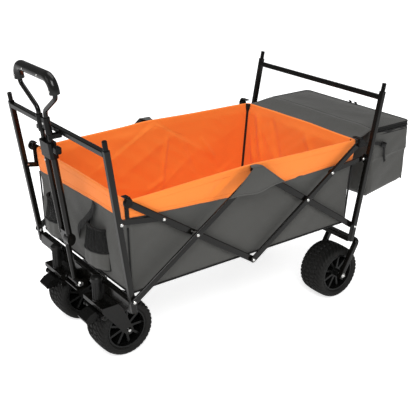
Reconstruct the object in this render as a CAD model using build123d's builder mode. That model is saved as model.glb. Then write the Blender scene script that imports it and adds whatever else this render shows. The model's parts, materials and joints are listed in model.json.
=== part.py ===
"""Folding wagon with a telescopic pull handle, swivel casters and a rear storage bag.

Millimetres. +X is forward, +Y is the wagon's left, +Z is up, and z = 0 is the ground.
"""
from build123d import *
import math
import os

os.makedirs("parts", exist_ok=True)

# ---------------------------------------------------------------- driving dimensions
# Side scissors: two equal crossed pairs, seen from the side.
MID_X = 84.4            # x of the two middle pivots
PIVOT_SPAN = 415.3      # middle pivot to end pivot, wagon open
LOW_Z = 249.5           # height of the lower pivots
HIGH_Z = 531.0          # height of the upper pivots
FRONT_X = MID_X + PIVOT_SPAN
REAR_X = MID_X - PIVOT_SPAN

# Corner posts: 16 mm square steel tube, leaning out fore and aft.
TUBE = 16.0
WALL = 1.5
TUBE_CORNER = 3.0
FRONT_LEAN = 7.2        # degrees forward
REAR_LEAN = -10.9       # degrees rearward
FRONT_POST_Y = 284.0
REAR_POST_Y = 291.0
POST_TOP_Z = 680.0
FRONT_POST_FOOT_Z = 212.0
REAR_POST_FOOT_Z = 199.0
TOP_BAR_DROP_FRONT = 9.0
TOP_BAR_DROP_REAR = 17.0

# Scissor tubes: flat oval steel tube, one plane for each layer.
ARM_HIGH = 19.0
ARM_THICK = 8.0
ARM_WALL = 1.2
INNER_Y = 278.25        # layer of the upper front and lower rear tubes
REAR_OUTER_Y = 287.25   # layer of the upper rear tube
FRONT_OUTER_Y = 296.75  # layer of the lower front tube
LINK_FRACTION = 0.266   # link pivot on its tube, from the upper end
RIVET_R = 3.0
RIVET_HOLE_R = 3.05
HEAD_R = 4.8
HEAD_H = 2.2

# Links from the posts to the scissor tubes.
LINK_WIDE = 15.0
LINK_THICK = 3.0
FRONT_LINK_ON_POST = (24.0, 228.5)   # forward and up from the lower front pivot
REAR_LINK_ON_POST = (-28.0, 222.5)   # the same, from the lower rear pivot
FRONT_LINK_Y = 272.65
REAR_LINK_Y = 279.0

# Wheels.
WHEEL_R = 88.9          # 7 inch wheel
TYRE_W = 100.0
RIM_R = 62.0
AXLE_R = 5.0
BORE_R = 5.06
REAR_AXLE_X = REAR_X + 47.3
REAR_WHEEL_Y = 237.0
CASTER_X = FRONT_X + 21.0
CASTER_Y = 126.0
CASTER_TRAIL = 67.0
FRONT_AXLE_X = CASTER_X - CASTER_TRAIL

# Pull handle, measured along its own leaning axis from its pivot.
HANDLE_X = FRONT_X + 26.0
HANDLE_Z = 198.0
HANDLE_LEAN = 6.6
HANDLE_GAP = 44.0       # between the centres of the twin tubes
OUTER_TUBE_R = 8.8
INNER_TUBE_R = 6.5
YOKE_S = 147.0
COLLAR_S = (397.0, 440.0)
UPPER_COLLAR_S = (467.0, 514.0)
GRIP_S = 638.0
GRIP_HALF = 107.0
GRIP_R = 14.0

# Fabric basket: outer faces at its floor and at its rim.
BASKET_Y = 268.5
BASKET_FLOOR = (REAR_X + 18.0, FRONT_X - 9.0, 255.0)
BASKET_RIM = (REAR_X - 8.0, FRONT_X - 3.0, 538.0)
SHELL_T = 4.0
LINER_T = 2.2
BAND_T = 2.4
BAND_LOW_Z = 465.0

# Rear storage bag.
BAG_FRONT_X = REAR_X - 100.0
BAG_REAR_X = REAR_X - 275.0
BAG_Y = 245.0
BAG_LOW_Z = 335.0       # its floor at the rear
BAG_DROP = 28.0         # the floor is this much lower in front
BAG_TOP_Z = 540.0
LID_T = 6.0


# ---------------------------------------------------------------- helpers
def save(piece, name):
    """Label a finished piece and write it."""
    piece.part.label = name
    export_step(piece.part, f"parts/{name}.step")


def lean_dir(angle):
    """Unit vector that points up and leans forward by the angle in degrees."""
    return Vector(math.sin(math.radians(angle)), 0, math.cos(math.radians(angle)))


def post_point(pivot_x, lean, side_y, height):
    """Point on a corner post's centre line at a height."""
    x = pivot_x + (height - LOW_Z) * math.tan(math.radians(lean))
    return Vector(x, side_y, height)


def square_section(size, wall, corner):
    """Hollow square section, drawn in the current sketch."""
    RectangleRounded(size, size, corner)
    inner = size - 2 * wall
    RectangleRounded(inner, inner, corner - wall, mode=Mode.SUBTRACT)


def y_plane(x, y, z, side=1):
    """Plane at a point, whose normal is +Y on the left side and -Y on the right."""
    return Plane(origin=(x, y, z), x_dir=(-side, 0, 0), z_dir=(0, side, 0))


def in_side_view(x, z, side=1):
    """Sketch coordinates of a side-view point, on a y_plane through the origin."""
    return (-side * x, z)


def rivet(x, z, low, high, side, heads=(True, True)):
    """Round-headed rivet along Y between two distances from the middle plane."""
    with BuildPart() as pin:
        with BuildSketch(y_plane(x, side * low, z, side)):
            Circle(RIVET_R)
        extrude(amount=high - low)
        if heads[0]:
            with BuildSketch(y_plane(x, side * (low - HEAD_H), z, side)):
                Circle(HEAD_R - 1.8)
            with BuildSketch(y_plane(x, side * low, z, side)):
                Circle(HEAD_R)
            loft()
        if heads[1]:
            with BuildSketch(y_plane(x, side * high, z, side)):
                Circle(HEAD_R)
            with BuildSketch(y_plane(x, side * (high + HEAD_H), z, side)):
                Circle(HEAD_R - 1.8)
            loft()
    return pin.part


# ---------------------------------------------------------------- posts and bars
def corner_post(name, pivot_x, lean, side_y, foot_z, link_hole, bracket):
    """Leaning square post with its pivot hole and its link hole or bracket."""
    side = 1 if side_y > 0 else -1
    start = post_point(pivot_x, lean, side_y, foot_z)
    end = post_point(pivot_x, lean, side_y, POST_TOP_Z)
    across = Vector(math.cos(math.radians(lean)), 0, -math.sin(math.radians(lean)))
    with BuildPart() as post:
        with BuildSketch(Plane(origin=start, x_dir=across, z_dir=end - start)):
            square_section(TUBE, WALL, TUBE_CORNER)
        extrude(amount=(end - start).length)
        if bracket:
            link_x = pivot_x + link_hole[0]
            link_z = LOW_Z + link_hole[1]
            back = post_point(pivot_x, lean, side_y, link_z).X + TUBE / 2
            root = back - link_x + 3.6
            with BuildSketch(y_plane(0, side * 283.4, 0, side)):
                for dx, dz, r in ((0, 0, 9.0), (root, 12, 4.0), (root, -12, 4.0)):
                    with Locations(in_side_view(link_x + dx, link_z + dz, side)):
                        Circle(r)
                make_hull()
            extrude(amount=3.0)
        for hole_x, hole_z in ((pivot_x, LOW_Z), (pivot_x + link_hole[0], LOW_Z + link_hole[1])):
            with BuildSketch(y_plane(hole_x, side * 260.0, hole_z, side)):
                Circle(RIVET_HOLE_R)
            extrude(amount=60.0, mode=Mode.SUBTRACT)
    save(post, name)


def top_bar(name, pivot_x, lean, side_y, drop):
    """Square tube across the wagon between two posts, near their tops."""
    centre = post_point(pivot_x, lean, 0, POST_TOP_Z - drop)
    length = 2 * (side_y - TUBE / 2)
    with BuildPart() as bar:
        start = Vector(centre.X, -length / 2, centre.Z)
        with BuildSketch(Plane(origin=start, x_dir=lean_dir(lean), z_dir=(0, 1, 0))):
            square_section(TUBE, WALL, TUBE_CORNER)
        extrude(amount=length)
    save(bar, name)


def canopy_plugs(name, pivot_x, lean, side_y):
    """Two round plugs pressed into the post tops, for the canopy poles."""
    with BuildPart() as plugs:
        for side in (1, -1):
            top = post_point(pivot_x, lean, side * side_y, POST_TOP_Z)
            deep = top - lean_dir(lean) * 24.0
            with BuildSketch(Plane(origin=deep, x_dir=(0, 1, 0), z_dir=lean_dir(lean))):
                Circle(6.0)
            extrude(amount=24.0)
            with BuildSketch(Plane(origin=top, x_dir=(0, 1, 0), z_dir=lean_dir(lean))):
                RectangleRounded(TUBE, TUBE, TUBE_CORNER)
            extrude(amount=2.0)
            with BuildSketch(Plane(origin=top, x_dir=(0, 1, 0), z_dir=lean_dir(lean))):
                Circle(6.75)
            extrude(amount=26.5)
            tip = Plane(origin=top + lean_dir(lean) * 26.5, x_dir=(0, 1, 0), z_dir=lean_dir(lean))
            with BuildSketch(tip):
                Circle(6.75)
            with BuildSketch(tip.offset(1.5)):
                Circle(5.2)
            loft()
    save(plugs, name)


def rear_lower_beam():
    """Square tube between the feet of the rear posts."""
    reach = REAR_POST_Y - TUBE / 2
    with BuildPart() as beam:
        with BuildSketch(Plane(origin=(REAR_X + 7.0, -reach, 203.0), x_dir=(1, 0, 0), z_dir=(0, 1, 0))):
            RectangleRounded(20.0, TUBE, TUBE_CORNER)
            RectangleRounded(20.0 - 2 * WALL, TUBE - 2 * WALL, TUBE_CORNER - WALL, mode=Mode.SUBTRACT)
        extrude(amount=2 * reach)
    save(beam, "rear_lower_beam")


def rear_fork(name, side):
    """Square tube bent into a U over a rear wheel, raked forward to the axle."""
    top_x = REAR_X - 13.3
    top_z = 197.0
    down = Vector(REAR_AXLE_X - top_x, 0, WHEEL_R - top_z)
    reach = down.length
    up = down * (-1 / reach)
    inner_y = 177.0
    outer_y = 297.0
    frame = Plane(origin=(REAR_AXLE_X, 0, WHEEL_R), x_dir=(0, side, 0), z_dir=Vector(0, side, 0).cross(up))
    with BuildPart() as fork:
        with BuildLine(frame) as path:
            FilletPolyline((inner_y, -13.0), (inner_y, reach), (outer_y, reach), (outer_y, -13.0), radius=11.0)
        with BuildSketch(Plane(origin=path.line @ 0, x_dir=(0, 1, 0), z_dir=path.line % 0)):
            square_section(TUBE, WALL, TUBE_CORNER)
        sweep(path=path.line)
        with BuildSketch(y_plane(REAR_AXLE_X, side * 150.0, WHEEL_R, side)):
            Circle(BORE_R)
        extrude(amount=180.0, mode=Mode.SUBTRACT)
    save(fork, name)


def rear_axle_bolts():
    """Long bolt through each rear fork and wheel, with a washer under each head."""
    with BuildPart() as bolts:
        for side in (1, -1):
            with BuildSketch(y_plane(REAR_AXLE_X, side * 168.9, WHEEL_R, side)):
                Circle(AXLE_R)
            extrude(amount=136.2)
            with BuildSketch(y_plane(REAR_AXLE_X, side * 164.9, WHEEL_R, side)):
                RegularPolygon(8.0, 6)
            extrude(amount=4.0)
            with BuildSketch(y_plane(REAR_AXLE_X, side * 305.1, WHEEL_R, side)):
                Circle(7.0)
            extrude(amount=1.2)
            with BuildSketch(y_plane(REAR_AXLE_X, side * 306.3, WHEEL_R, side)):
                Circle(5.6)
            with BuildSketch(y_plane(REAR_AXLE_X, side * 310.3, WHEEL_R, side)):
                Circle(3.4)
            loft()
    save(bolts, "rear_axle_bolts")


def front_lower_beam():
    """Deep rectangular tube between the front feet, with the handle's welded bracket."""
    reach = FRONT_POST_Y - TUBE / 2
    beam_x = FRONT_X - 7.3
    face = beam_x + 10.0
    with BuildPart() as beam:
        with BuildSketch(Plane(origin=(beam_x, -reach, 222.0), x_dir=(1, 0, 0), z_dir=(0, 1, 0))):
            RectangleRounded(20.0, 36.0, 3.0)
            RectangleRounded(20.0 - 2 * WALL, 36.0 - 2 * WALL, 1.5, mode=Mode.SUBTRACT)
        extrude(amount=2 * reach)
        with BuildSketch(Plane(origin=(face - 0.2, 0, 209.0), x_dir=(0, 1, 0), z_dir=(1, 0, 0))):
            RectangleRounded(74.0, 54.0, 2.0)
        extrude(amount=3.2)
        with BuildSketch(Plane(origin=(face + 19.0, 0, 182.0))):
            RectangleRounded(38.0, 74.0, 2.0)
        extrude(amount=3.2)
        for side in (1, -1):
            with BuildSketch(y_plane(0, side * 31.0, 0, side)):
                with Locations(in_side_view(HANDLE_X, HANDLE_Z, side)):
                    Circle(13.0)
                with Locations(in_side_view(face + 3.0, HANDLE_Z, side)):
                    Rectangle(5.0, 26.0)
                make_hull()
            extrude(amount=3.5)
        with BuildSketch(Plane(origin=(HANDLE_X, -60.0, HANDLE_Z), x_dir=(1, 0, 0), z_dir=(0, 1, 0))):
            Circle(BORE_R)
        extrude(amount=120.0, mode=Mode.SUBTRACT)
    save(beam, "front_lower_beam")


def caster_housings():
    """Two ribbed tubes that carry the caster stems, with a saddle on the beam."""
    with BuildPart() as housings:
        for side in (1, -1):
            base = Plane(origin=(CASTER_X, side * CASTER_Y, 191.0))
            with BuildSketch(base):
                Circle(12.5)
                with PolarLocations(12.3, 10):
                    Rectangle(3.6, 2.6)
                Circle(8.1, mode=Mode.SUBTRACT)
            extrude(amount=56.0)
            with BuildSketch(base.offset(55.0)):
                Circle(17.0)
                Circle(8.1, mode=Mode.SUBTRACT)
            extrude(amount=11.0)
            with BuildSketch(base.offset(66.0)):
                Circle(17.0)
            with BuildSketch(base.offset(71.0)):
                Circle(12.0)
            loft()
            saddle = Plane(origin=(FRONT_X + 2.8, side * CASTER_Y, 222.0), x_dir=(0, 1, 0), z_dir=(1, 0, 0))
            with BuildSketch(saddle):
                Rectangle(22.0, 30.0)
            extrude(amount=9.4)
    save(housings, "caster_housings")


def handle_clip():
    """Forked clip under the front top bar that holds one handle tube."""
    y = HANDLE_GAP / 2
    bar = post_point(FRONT_X, FRONT_LEAN, 0, POST_TOP_Z - TOP_BAR_DROP_FRONT)
    with BuildPart() as clip:
        with BuildSketch(Plane(origin=(bar.X + 14.0, y, 649.0))):
            RectangleRounded(40.0, 19.4, 2.0)
        extrude(amount=12.0)
        with BuildSketch(Plane(origin=(bar.X, y, 660.0))):
            RectangleRounded(12.0, 19.4, 2.0)
        extrude(amount=2.0)
        with BuildSketch(Plane(origin=(bar.X + 28.0, y, 630.0))):
            Rectangle(26.0, 14.0)
        extrude(amount=40.0, mode=Mode.SUBTRACT)
    save(clip, "handle_clip")


# ---------------------------------------------------------------- scissor tubes, links, hubs
FRONT_TOP = (FRONT_X, HIGH_Z)
FRONT_LOW = (FRONT_X, LOW_Z)
MID_TOP = (MID_X, HIGH_Z)
MID_LOW = (MID_X, LOW_Z)
REAR_TOP = (REAR_X, HIGH_Z)
REAR_LOW = (REAR_X, LOW_Z)
FRONT_CROSS = ((FRONT_X + MID_X) / 2, (HIGH_Z + LOW_Z) / 2)
REAR_CROSS = ((REAR_X + MID_X) / 2, (HIGH_Z + LOW_Z) / 2)


def between(a, b, part):
    """Point in the side view at a fraction of the way from a to b."""
    return (a[0] + (b[0] - a[0]) * part, a[1] + (b[1] - a[1]) * part)


FRONT_LINK_ARM = between(FRONT_TOP, MID_LOW, LINK_FRACTION)
REAR_LINK_ARM = between(REAR_TOP, MID_LOW, LINK_FRACTION)


def flat_bar(a, b, middle_y, high, thick, holes, side, wall=0.0):
    """Flat oval tube or bar in the side view, with rounded ends and rivet holes."""
    with BuildPart() as bar:
        length = math.hypot(b[0] - a[0], b[1] - a[1])
        centre = between(a, b, 0.5)
        run = Vector(b[0] - a[0], 0, b[1] - a[1])
        place = Plane(origin=(centre[0], side * (middle_y - thick / 2), centre[1]), x_dir=run, z_dir=(0, side, 0))
        with BuildSketch(place):
            SlotCenterToCenter(length, high)
        extrude(amount=thick)
        rims = bar.edges().group_by(Axis.Y)
        if wall:
            fillet(rims[0] + rims[-1], thick * 0.36)
            tube = Plane(origin=(a[0], side * middle_y, a[1]), x_dir=(0, 1, 0), z_dir=run)
            with BuildSketch(tube.offset(12.0)):
                SlotOverall(high - 2 * wall, thick - 2 * wall, rotation=90)
            extrude(amount=length - 24.0, mode=Mode.SUBTRACT)
        for hole in holes:
            with BuildSketch(y_plane(hole[0], side * (middle_y - 20.0), hole[1], side)):
                Circle(RIVET_HOLE_R)
            extrude(amount=40.0, mode=Mode.SUBTRACT)
    return bar


def scissor_tubes():
    """Eight scissor tubes, four on each side."""
    for word, side in (("left", 1), ("right", -1)):
        upper_front = flat_bar(FRONT_TOP, MID_LOW, INNER_Y, ARM_HIGH, ARM_THICK,
                               (FRONT_TOP, FRONT_CROSS, MID_LOW, FRONT_LINK_ARM), side, ARM_WALL)
        save(upper_front, f"front_upper_tube_{word}")
        lower_front = flat_bar(FRONT_LOW, MID_TOP, FRONT_OUTER_Y, ARM_HIGH, ARM_THICK,
                               (FRONT_LOW, FRONT_CROSS, MID_TOP), side, ARM_WALL)
        save(lower_front, f"front_lower_tube_{word}")
        upper_rear = flat_bar(REAR_TOP, MID_LOW, REAR_OUTER_Y, ARM_HIGH, ARM_THICK,
                              (REAR_TOP, REAR_CROSS, MID_LOW, REAR_LINK_ARM), side, ARM_WALL)
        save(upper_rear, f"rear_upper_tube_{word}")
        lower_rear = flat_bar(REAR_LOW, MID_TOP, INNER_Y, ARM_HIGH, ARM_THICK,
                              (REAR_LOW, REAR_CROSS, MID_TOP), side, ARM_WALL)
        save(lower_rear, f"rear_lower_tube_{word}")


def links(name, a, b, middle_y):
    """Two flat links, one on each side, from a post to a scissor tube."""
    with BuildPart() as pair:
        for side in (1, -1):
            one = flat_bar(a, b, middle_y, LINK_WIDE, LINK_THICK, (a, b), side)
            add(one.part)
    save(pair, name)


def front_cross_rivets():
    """Rivets of the upper front tubes: at the front crossings and at the links."""
    with BuildPart() as rivets:
        for side in (1, -1):
            low = INNER_Y - ARM_THICK / 2
            add(rivet(*FRONT_CROSS, low - 0.1, FRONT_OUTER_Y + ARM_THICK / 2 + 0.1, side))
            with BuildSketch(y_plane(FRONT_CROSS[0], side * (INNER_Y + 4.15), FRONT_CROSS[1], side)):
                Circle(7.0)
            extrude(amount=10.2)
            add(rivet(*FRONT_LINK_ARM, low, INNER_Y + ARM_THICK / 2 + 0.1, side, (False, True)))
    save(rivets, "front_cross_rivets")


def rear_tube_rivets():
    """Rivets of the upper rear tubes: at the crossings, the lower middle pivots and the links."""
    with BuildPart() as rivets:
        for side in (1, -1):
            for point in (REAR_CROSS, MID_LOW):
                add(rivet(*point, INNER_Y - 4.1, REAR_OUTER_Y + 4.1, side))
            low = REAR_OUTER_Y - ARM_THICK / 2
            add(rivet(*REAR_LINK_ARM, low, REAR_OUTER_Y + ARM_THICK / 2 + 0.1, side, (False, True)))
    save(rivets, "rear_tube_rivets")


def mid_hubs():
    """Blocks at the upper middle pivots, with the pins that join the two scissors."""
    with BuildPart() as hubs:
        for side in (1, -1):
            add(rivet(*MID_TOP, INNER_Y - 4.1, FRONT_OUTER_Y + 4.1, side))
            with BuildSketch(y_plane(MID_TOP[0], side * (INNER_Y + 4.2), MID_TOP[1], side)):
                Circle(11.0)
            extrude(amount=10.1)
    save(hubs, "mid_hubs")


def hub_cap(point, outer, side):
    """Rounded cap of one corner hub, standing on its tube's outer face."""
    with BuildPart() as cap:
        with BuildSketch(y_plane(point[0], side * (outer + 0.1), point[1], side)):
            Circle(13.0)
            with Locations((0, 7.0)):
                Circle(9.5)
            make_hull()
        extrude(amount=9.0)
        fillet(cap.faces().sort_by(Axis.Y)[-1 if side > 0 else 0].edges(), 3.0)
    return cap.part


def corner_hubs(name, point, tube_y):
    """Black caps on the upper ends of the scissor tubes, hooked over the basket's corners."""
    with BuildPart() as hubs:
        for side in (1, -1):
            outer = tube_y + ARM_THICK / 2
            add(rivet(*point, tube_y - 4.1, outer + 2.0, side, (True, False)))
            add(hub_cap(point, outer, side))
            with BuildSketch(y_plane(point[0], side * 264.0, point[1] + 12.6, side)):
                Rectangle(14.0, 2.8, align=(Align.CENTER, Align.MIN))
            extrude(amount=outer + 4.0 - 264.0)
    save(hubs, name)


def mid_flaps():
    """Fabric flap over each upper middle pivot, hanging from the basket's rim."""
    outline = ((MID_X + 16, 544.2), (MID_X + 106, 474), (MID_X + 44, 470), (MID_X + 1, 465),
               (MID_X - 97, 480), (MID_X - 14, 544.2))
    with BuildPart() as flaps:
        for side in (1, -1):
            with BuildSketch(y_plane(0, side * 304.6, 0, side)):
                with BuildLine():
                    Polyline(*[in_side_view(x, z, side) for x, z in outline], close=True)
                make_face()
            extrude(amount=2.0)
            with BuildSketch(y_plane(MID_X + 1, side * 267.5, 543.2, side)):
                Rectangle(22.0, 2.0)
            extrude(amount=38.0)
    save(flaps, "mid_flaps")


def frame_rivets():
    """Fixed rivets of the two end frames, and the handle's pivot bolt."""
    with BuildPart() as front:
        for side in (1, -1):
            add(rivet(*FRONT_LOW, 276.0 - 0.05, FRONT_OUTER_Y + 4.1, side))
            point = (FRONT_X + FRONT_LINK_ON_POST[0], LOW_Z + FRONT_LINK_ON_POST[1])
            add(rivet(*point, FRONT_LINK_Y - LINK_THICK / 2, FRONT_POST_Y + TUBE / 2 + 0.05, side, (False, True)))
        with BuildSketch(Plane(origin=(HANDLE_X, -34.6, HANDLE_Z), x_dir=(1, 0, 0), z_dir=(0, 1, 0))):
            Circle(AXLE_R)
        extrude(amount=69.2)
        for side in (1, -1):
            with BuildSketch(y_plane(HANDLE_X, side * 34.6, HANDLE_Z, side)):
                Circle(9.0)
            with BuildSketch(y_plane(HANDLE_X, side * 38.6, HANDLE_Z, side)):
                Circle(5.5)
            loft()
    save(front, "front_frame_rivets")
    with BuildPart() as rear:
        for side in (1, -1):
            add(rivet(*REAR_LOW, INNER_Y - 4.1, REAR_POST_Y + TUBE / 2 + 0.05, side))
            point = (REAR_X + REAR_LINK_ON_POST[0], LOW_Z + REAR_LINK_ON_POST[1])
            add(rivet(*point, REAR_LINK_Y - LINK_THICK / 2 - 0.1, 286.5, side))
    save(rear, "rear_frame_rivets")


# ---------------------------------------------------------------- wheels and casters
def tyre(name, x, y):
    """Wide tyre with rounded shoulders, a crowned tread and three grooves."""
    half = TYRE_W / 2
    with BuildPart() as ring:
        with BuildSketch(Plane(origin=(x, y, WHEEL_R), x_dir=(1, 0, 0), z_dir=(0, 0, 1))):
            with BuildLine():
                Polyline((RIM_R, -half + 6), (RIM_R, half - 6))
                Line((RIM_R, half - 6), (RIM_R + 4, half))
                Line((RIM_R + 4, half), (RIM_R + 16, half))
                ThreePointArc((RIM_R + 16, half), (WHEEL_R - 4.5, half - 5.5), (WHEEL_R - 1.2, half - 15))
                ThreePointArc((WHEEL_R - 1.2, half - 15), (WHEEL_R, 0), (WHEEL_R - 1.2, -half + 15))
                ThreePointArc((WHEEL_R - 1.2, -half + 15), (WHEEL_R - 4.5, -half + 5.5), (RIM_R + 16, -half))
                Line((RIM_R + 16, -half), (RIM_R + 4, -half))
                Line((RIM_R + 4, -half), (RIM_R, -half + 6))
            make_face()
            for offset in (-17.0, 17.0):
                with Locations((WHEEL_R, offset)):
                    Rectangle(7.0, 3.4, mode=Mode.SUBTRACT)
        revolve(axis=Axis((x, y, WHEEL_R), (0, 1, 0)))
    save(ring, name)


def rim(name, x, y):
    """Moulded rim: barrel, hub, a closed web and a set of nine spokes on each side."""
    with BuildPart() as wheel:
        with BuildSketch(y_plane(x, y - 44.0, WHEEL_R)):
            Circle(RIM_R - 0.1)
            Circle(RIM_R - 5.0, mode=Mode.SUBTRACT)
        extrude(amount=88.0)
        with BuildSketch(y_plane(x, y - 50.5, WHEEL_R)):
            Circle(12.5)
        extrude(amount=101.0)
        with BuildSketch(y_plane(x, y - 2.0, WHEEL_R)):
            Circle(RIM_R - 3.0)
        extrude(amount=4.0)
        for level in (-35.0, 1.0):
            with BuildSketch(y_plane(x, y + level, WHEEL_R)):
                Circle(18.0)
                with PolarLocations(37.0, 9):
                    Rectangle(42.0, 7.0)
            extrude(amount=34.0)
        with BuildSketch(y_plane(x, y - 60.0, WHEEL_R)):
            Circle(BORE_R)
        extrude(amount=120.0, mode=Mode.SUBTRACT)
    save(wheel, name)


def caster_fork(name, side):
    """Stamped fork with its stem and its riveted axle."""
    y = side * CASTER_Y
    crown_z = 181.0
    with BuildPart() as fork:
        with BuildSketch(Plane(origin=(CASTER_X - 13.0, y, crown_z))):
            RectangleRounded(60.0, 111.0, 4.0)
        extrude(amount=4.0)
        with BuildSketch(Plane(origin=(CASTER_X + 14.8, y, 177.5), x_dir=(0, 1, 0), z_dir=(1, 0, 0))):
            Rectangle(109.0, 10.0)
        extrude(amount=2.0)
        for wall in (-55.5, 52.0):
            with BuildSketch(y_plane(0, y + wall, 0)):
                with Locations(in_side_view(FRONT_AXLE_X, WHEEL_R)):
                    Circle(14.5)
                with Locations(in_side_view(CASTER_X - 13.0, 178.0)):
                    Rectangle(58.0, 13.0)
                make_hull()
                with Locations(in_side_view(CASTER_X + 8.0, 155.0)):
                    Circle(9.0)
                with Locations(in_side_view(CASTER_X - 3.0, 163.0)):
                    Rectangle(20.0, 24.0)
            extrude(amount=3.5)
        with BuildSketch(Plane(origin=(CASTER_X, y, crown_z + 3.0))):
            Circle(8.0)
        extrude(amount=70.0)
        with BuildSketch(Plane(origin=(CASTER_X, y, crown_z + 3.0))):
            Circle(15.0)
        extrude(amount=6.6)
        with BuildSketch(y_plane(FRONT_AXLE_X, y - 55.0, WHEEL_R)):
            Circle(AXLE_R)
        extrude(amount=110.0)
        for cap in (1, -1):
            with BuildSketch(y_plane(FRONT_AXLE_X, y + cap * 55.4, WHEEL_R, cap)):
                Circle(9.0)
            with BuildSketch(y_plane(FRONT_AXLE_X, y + cap * 59.4, WHEEL_R, cap)):
                Circle(5.0)
            loft()
        with BuildSketch(y_plane(CASTER_X + 8.0, y - 80.0, 155.0)):
            Circle(4.05)
        extrude(amount=160.0, mode=Mode.SUBTRACT)
    save(fork, name)


def brake_pedal(name, side):
    """Foot lever in front of the fork, on its own cross pin."""
    y = side * CASTER_Y
    px = CASTER_X + 8.0
    pz = 155.0
    outline = ((px - 2.0, pz + 7.0), (px + 14.0, pz + 8.0), (px + 30.0, pz + 2.0), (px + 46.0, pz - 12.0),
               (px + 42.0, pz - 21.0), (px + 24.0, pz - 20.0), (px + 9.0, pz - 19.0), (px + 3.6, pz - 8.0),
               (px - 4.0, pz - 3.0))
    with BuildPart() as pedal:
        with BuildSketch(y_plane(0, y - 23.0, 0)):
            with BuildLine():
                Polyline(*[in_side_view(x, z) for x, z in outline], close=True)
            make_face()
        extrude(amount=46.0)
        with BuildSketch(y_plane(px, y - 51.6, pz)):
            Circle(6.6)
        extrude(amount=103.2)
        with BuildSketch(y_plane(px, y - 56.5, pz)):
            Circle(4.0)
        extrude(amount=113.0)
    save(pedal, name)


# ---------------------------------------------------------------- pull handle
HANDLE_AXIS = lean_dir(HANDLE_LEAN)
HANDLE_BASE = Vector(HANDLE_X, 0, HANDLE_Z)
HANDLE_FACE = Plane(origin=HANDLE_BASE, x_dir=(0, 1, 0), z_dir=Vector(0, 1, 0).cross(HANDLE_AXIS))


def handle_ring_plane(y, s):
    """Plane across the handle at a distance from its pivot."""
    return Plane(origin=HANDLE_BASE + HANDLE_AXIS * s + Vector(0, y, 0), x_dir=(0, 1, 0), z_dir=HANDLE_AXIS)


def handle_outer_frame():
    """Welded lower half: pivot sleeve, single tube, yoke and the twin outer tubes."""
    with BuildPart() as outer:
        with BuildSketch(Plane(origin=(HANDLE_X, -30.6, HANDLE_Z), x_dir=(1, 0, 0), z_dir=(0, 1, 0))):
            Circle(9.5)
        extrude(amount=61.2)
        with BuildSketch(handle_ring_plane(0, 0)):
            Circle(8.0)
        extrude(amount=YOKE_S)
        with BuildSketch(HANDLE_FACE):
            with Locations((0, YOKE_S - 12.0)):
                Circle(14.0)
            for y in (-HANDLE_GAP / 2, HANDLE_GAP / 2):
                with Locations((y, YOKE_S + 14.0)):
                    Circle(8.0)
            make_hull()
        extrude(amount=7.0, both=True)
        for y in (-HANDLE_GAP / 2, HANDLE_GAP / 2):
            with BuildSketch(handle_ring_plane(y, YOKE_S + 8.0)):
                Circle(OUTER_TUBE_R)
            extrude(amount=COLLAR_S[1] - YOKE_S - 9.0)
            with BuildSketch(handle_ring_plane(y, YOKE_S + 26.0)):
                Circle(INNER_TUBE_R + 0.1)
            extrude(amount=300.0, mode=Mode.SUBTRACT)
        with BuildSketch(Plane(origin=(HANDLE_X, -40.0, HANDLE_Z), x_dir=(1, 0, 0), z_dir=(0, 1, 0))):
            Circle(BORE_R)
        extrude(amount=80.0, mode=Mode.SUBTRACT)
        with BuildSketch(y_plane(HANDLE_X + math.sin(math.radians(HANDLE_LEAN)) * YOKE_S, 7.0,
                                 HANDLE_Z + YOKE_S * math.cos(math.radians(HANDLE_LEAN)))):
            Ellipse(13.0, 18.0, rotation=-HANDLE_LEAN)
        extrude(amount=26.5)
    save(outer, "handle_outer_frame")


def handle_collar():
    """Clamp block round the tops of the twin outer tubes."""
    with BuildPart() as collar:
        with BuildSketch(handle_ring_plane(0, COLLAR_S[0])):
            RectangleRounded(HANDLE_GAP + 24.0, 25.0, 9.0)
            for y in (-HANDLE_GAP / 2, HANDLE_GAP / 2):
                with Locations((y, 0)):
                    Circle(OUTER_TUBE_R + 0.1, mode=Mode.SUBTRACT)
        extrude(amount=COLLAR_S[1] - COLLAR_S[0])
        with BuildSketch(handle_ring_plane(0, COLLAR_S[1])):
            RectangleRounded(HANDLE_GAP + 24.0, 25.0, 9.0)
            for y in (-HANDLE_GAP / 2, HANDLE_GAP / 2):
                with Locations((y, 0)):
                    Circle(INNER_TUBE_R + 0.1, mode=Mode.SUBTRACT)
        extrude(amount=3.0)
    save(collar, "handle_collar")


def handle_knob():
    """Rounded square clamp knob that stands out from the left end of the collar."""
    middle = HANDLE_BASE + HANDLE_AXIS * (COLLAR_S[1] - 11.0)
    with BuildPart() as knob:
        with BuildSketch(Plane(origin=(middle.X, HANDLE_GAP / 2 + 12.2, middle.Z), x_dir=(1, 0, 0), z_dir=(0, 1, 0))):
            Circle(5.0)
        extrude(amount=14.0)
        with BuildSketch(Plane(origin=(middle.X, HANDLE_GAP / 2 + 25.2, middle.Z), x_dir=(1, 0, 0), z_dir=(0, 1, 0))):
            RectangleRounded(18.0, 21.0, 5.0)
        extrude(amount=16.0)
        fillet(knob.faces().sort_by(Axis.Y)[-1].edges(), 2.0)
    save(knob, "handle_knob")


def handle_inner_tubes():
    """Two thin tubes that slide in the outer ones."""
    with BuildPart() as tubes:
        for y in (-HANDLE_GAP / 2, HANDLE_GAP / 2):
            with BuildSketch(handle_ring_plane(y, 182.0)):
                Circle(INNER_TUBE_R)
                Circle(INNER_TUBE_R - 1.2, mode=Mode.SUBTRACT)
            extrude(amount=308.0)
    save(tubes, "handle_inner_tubes")


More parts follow.
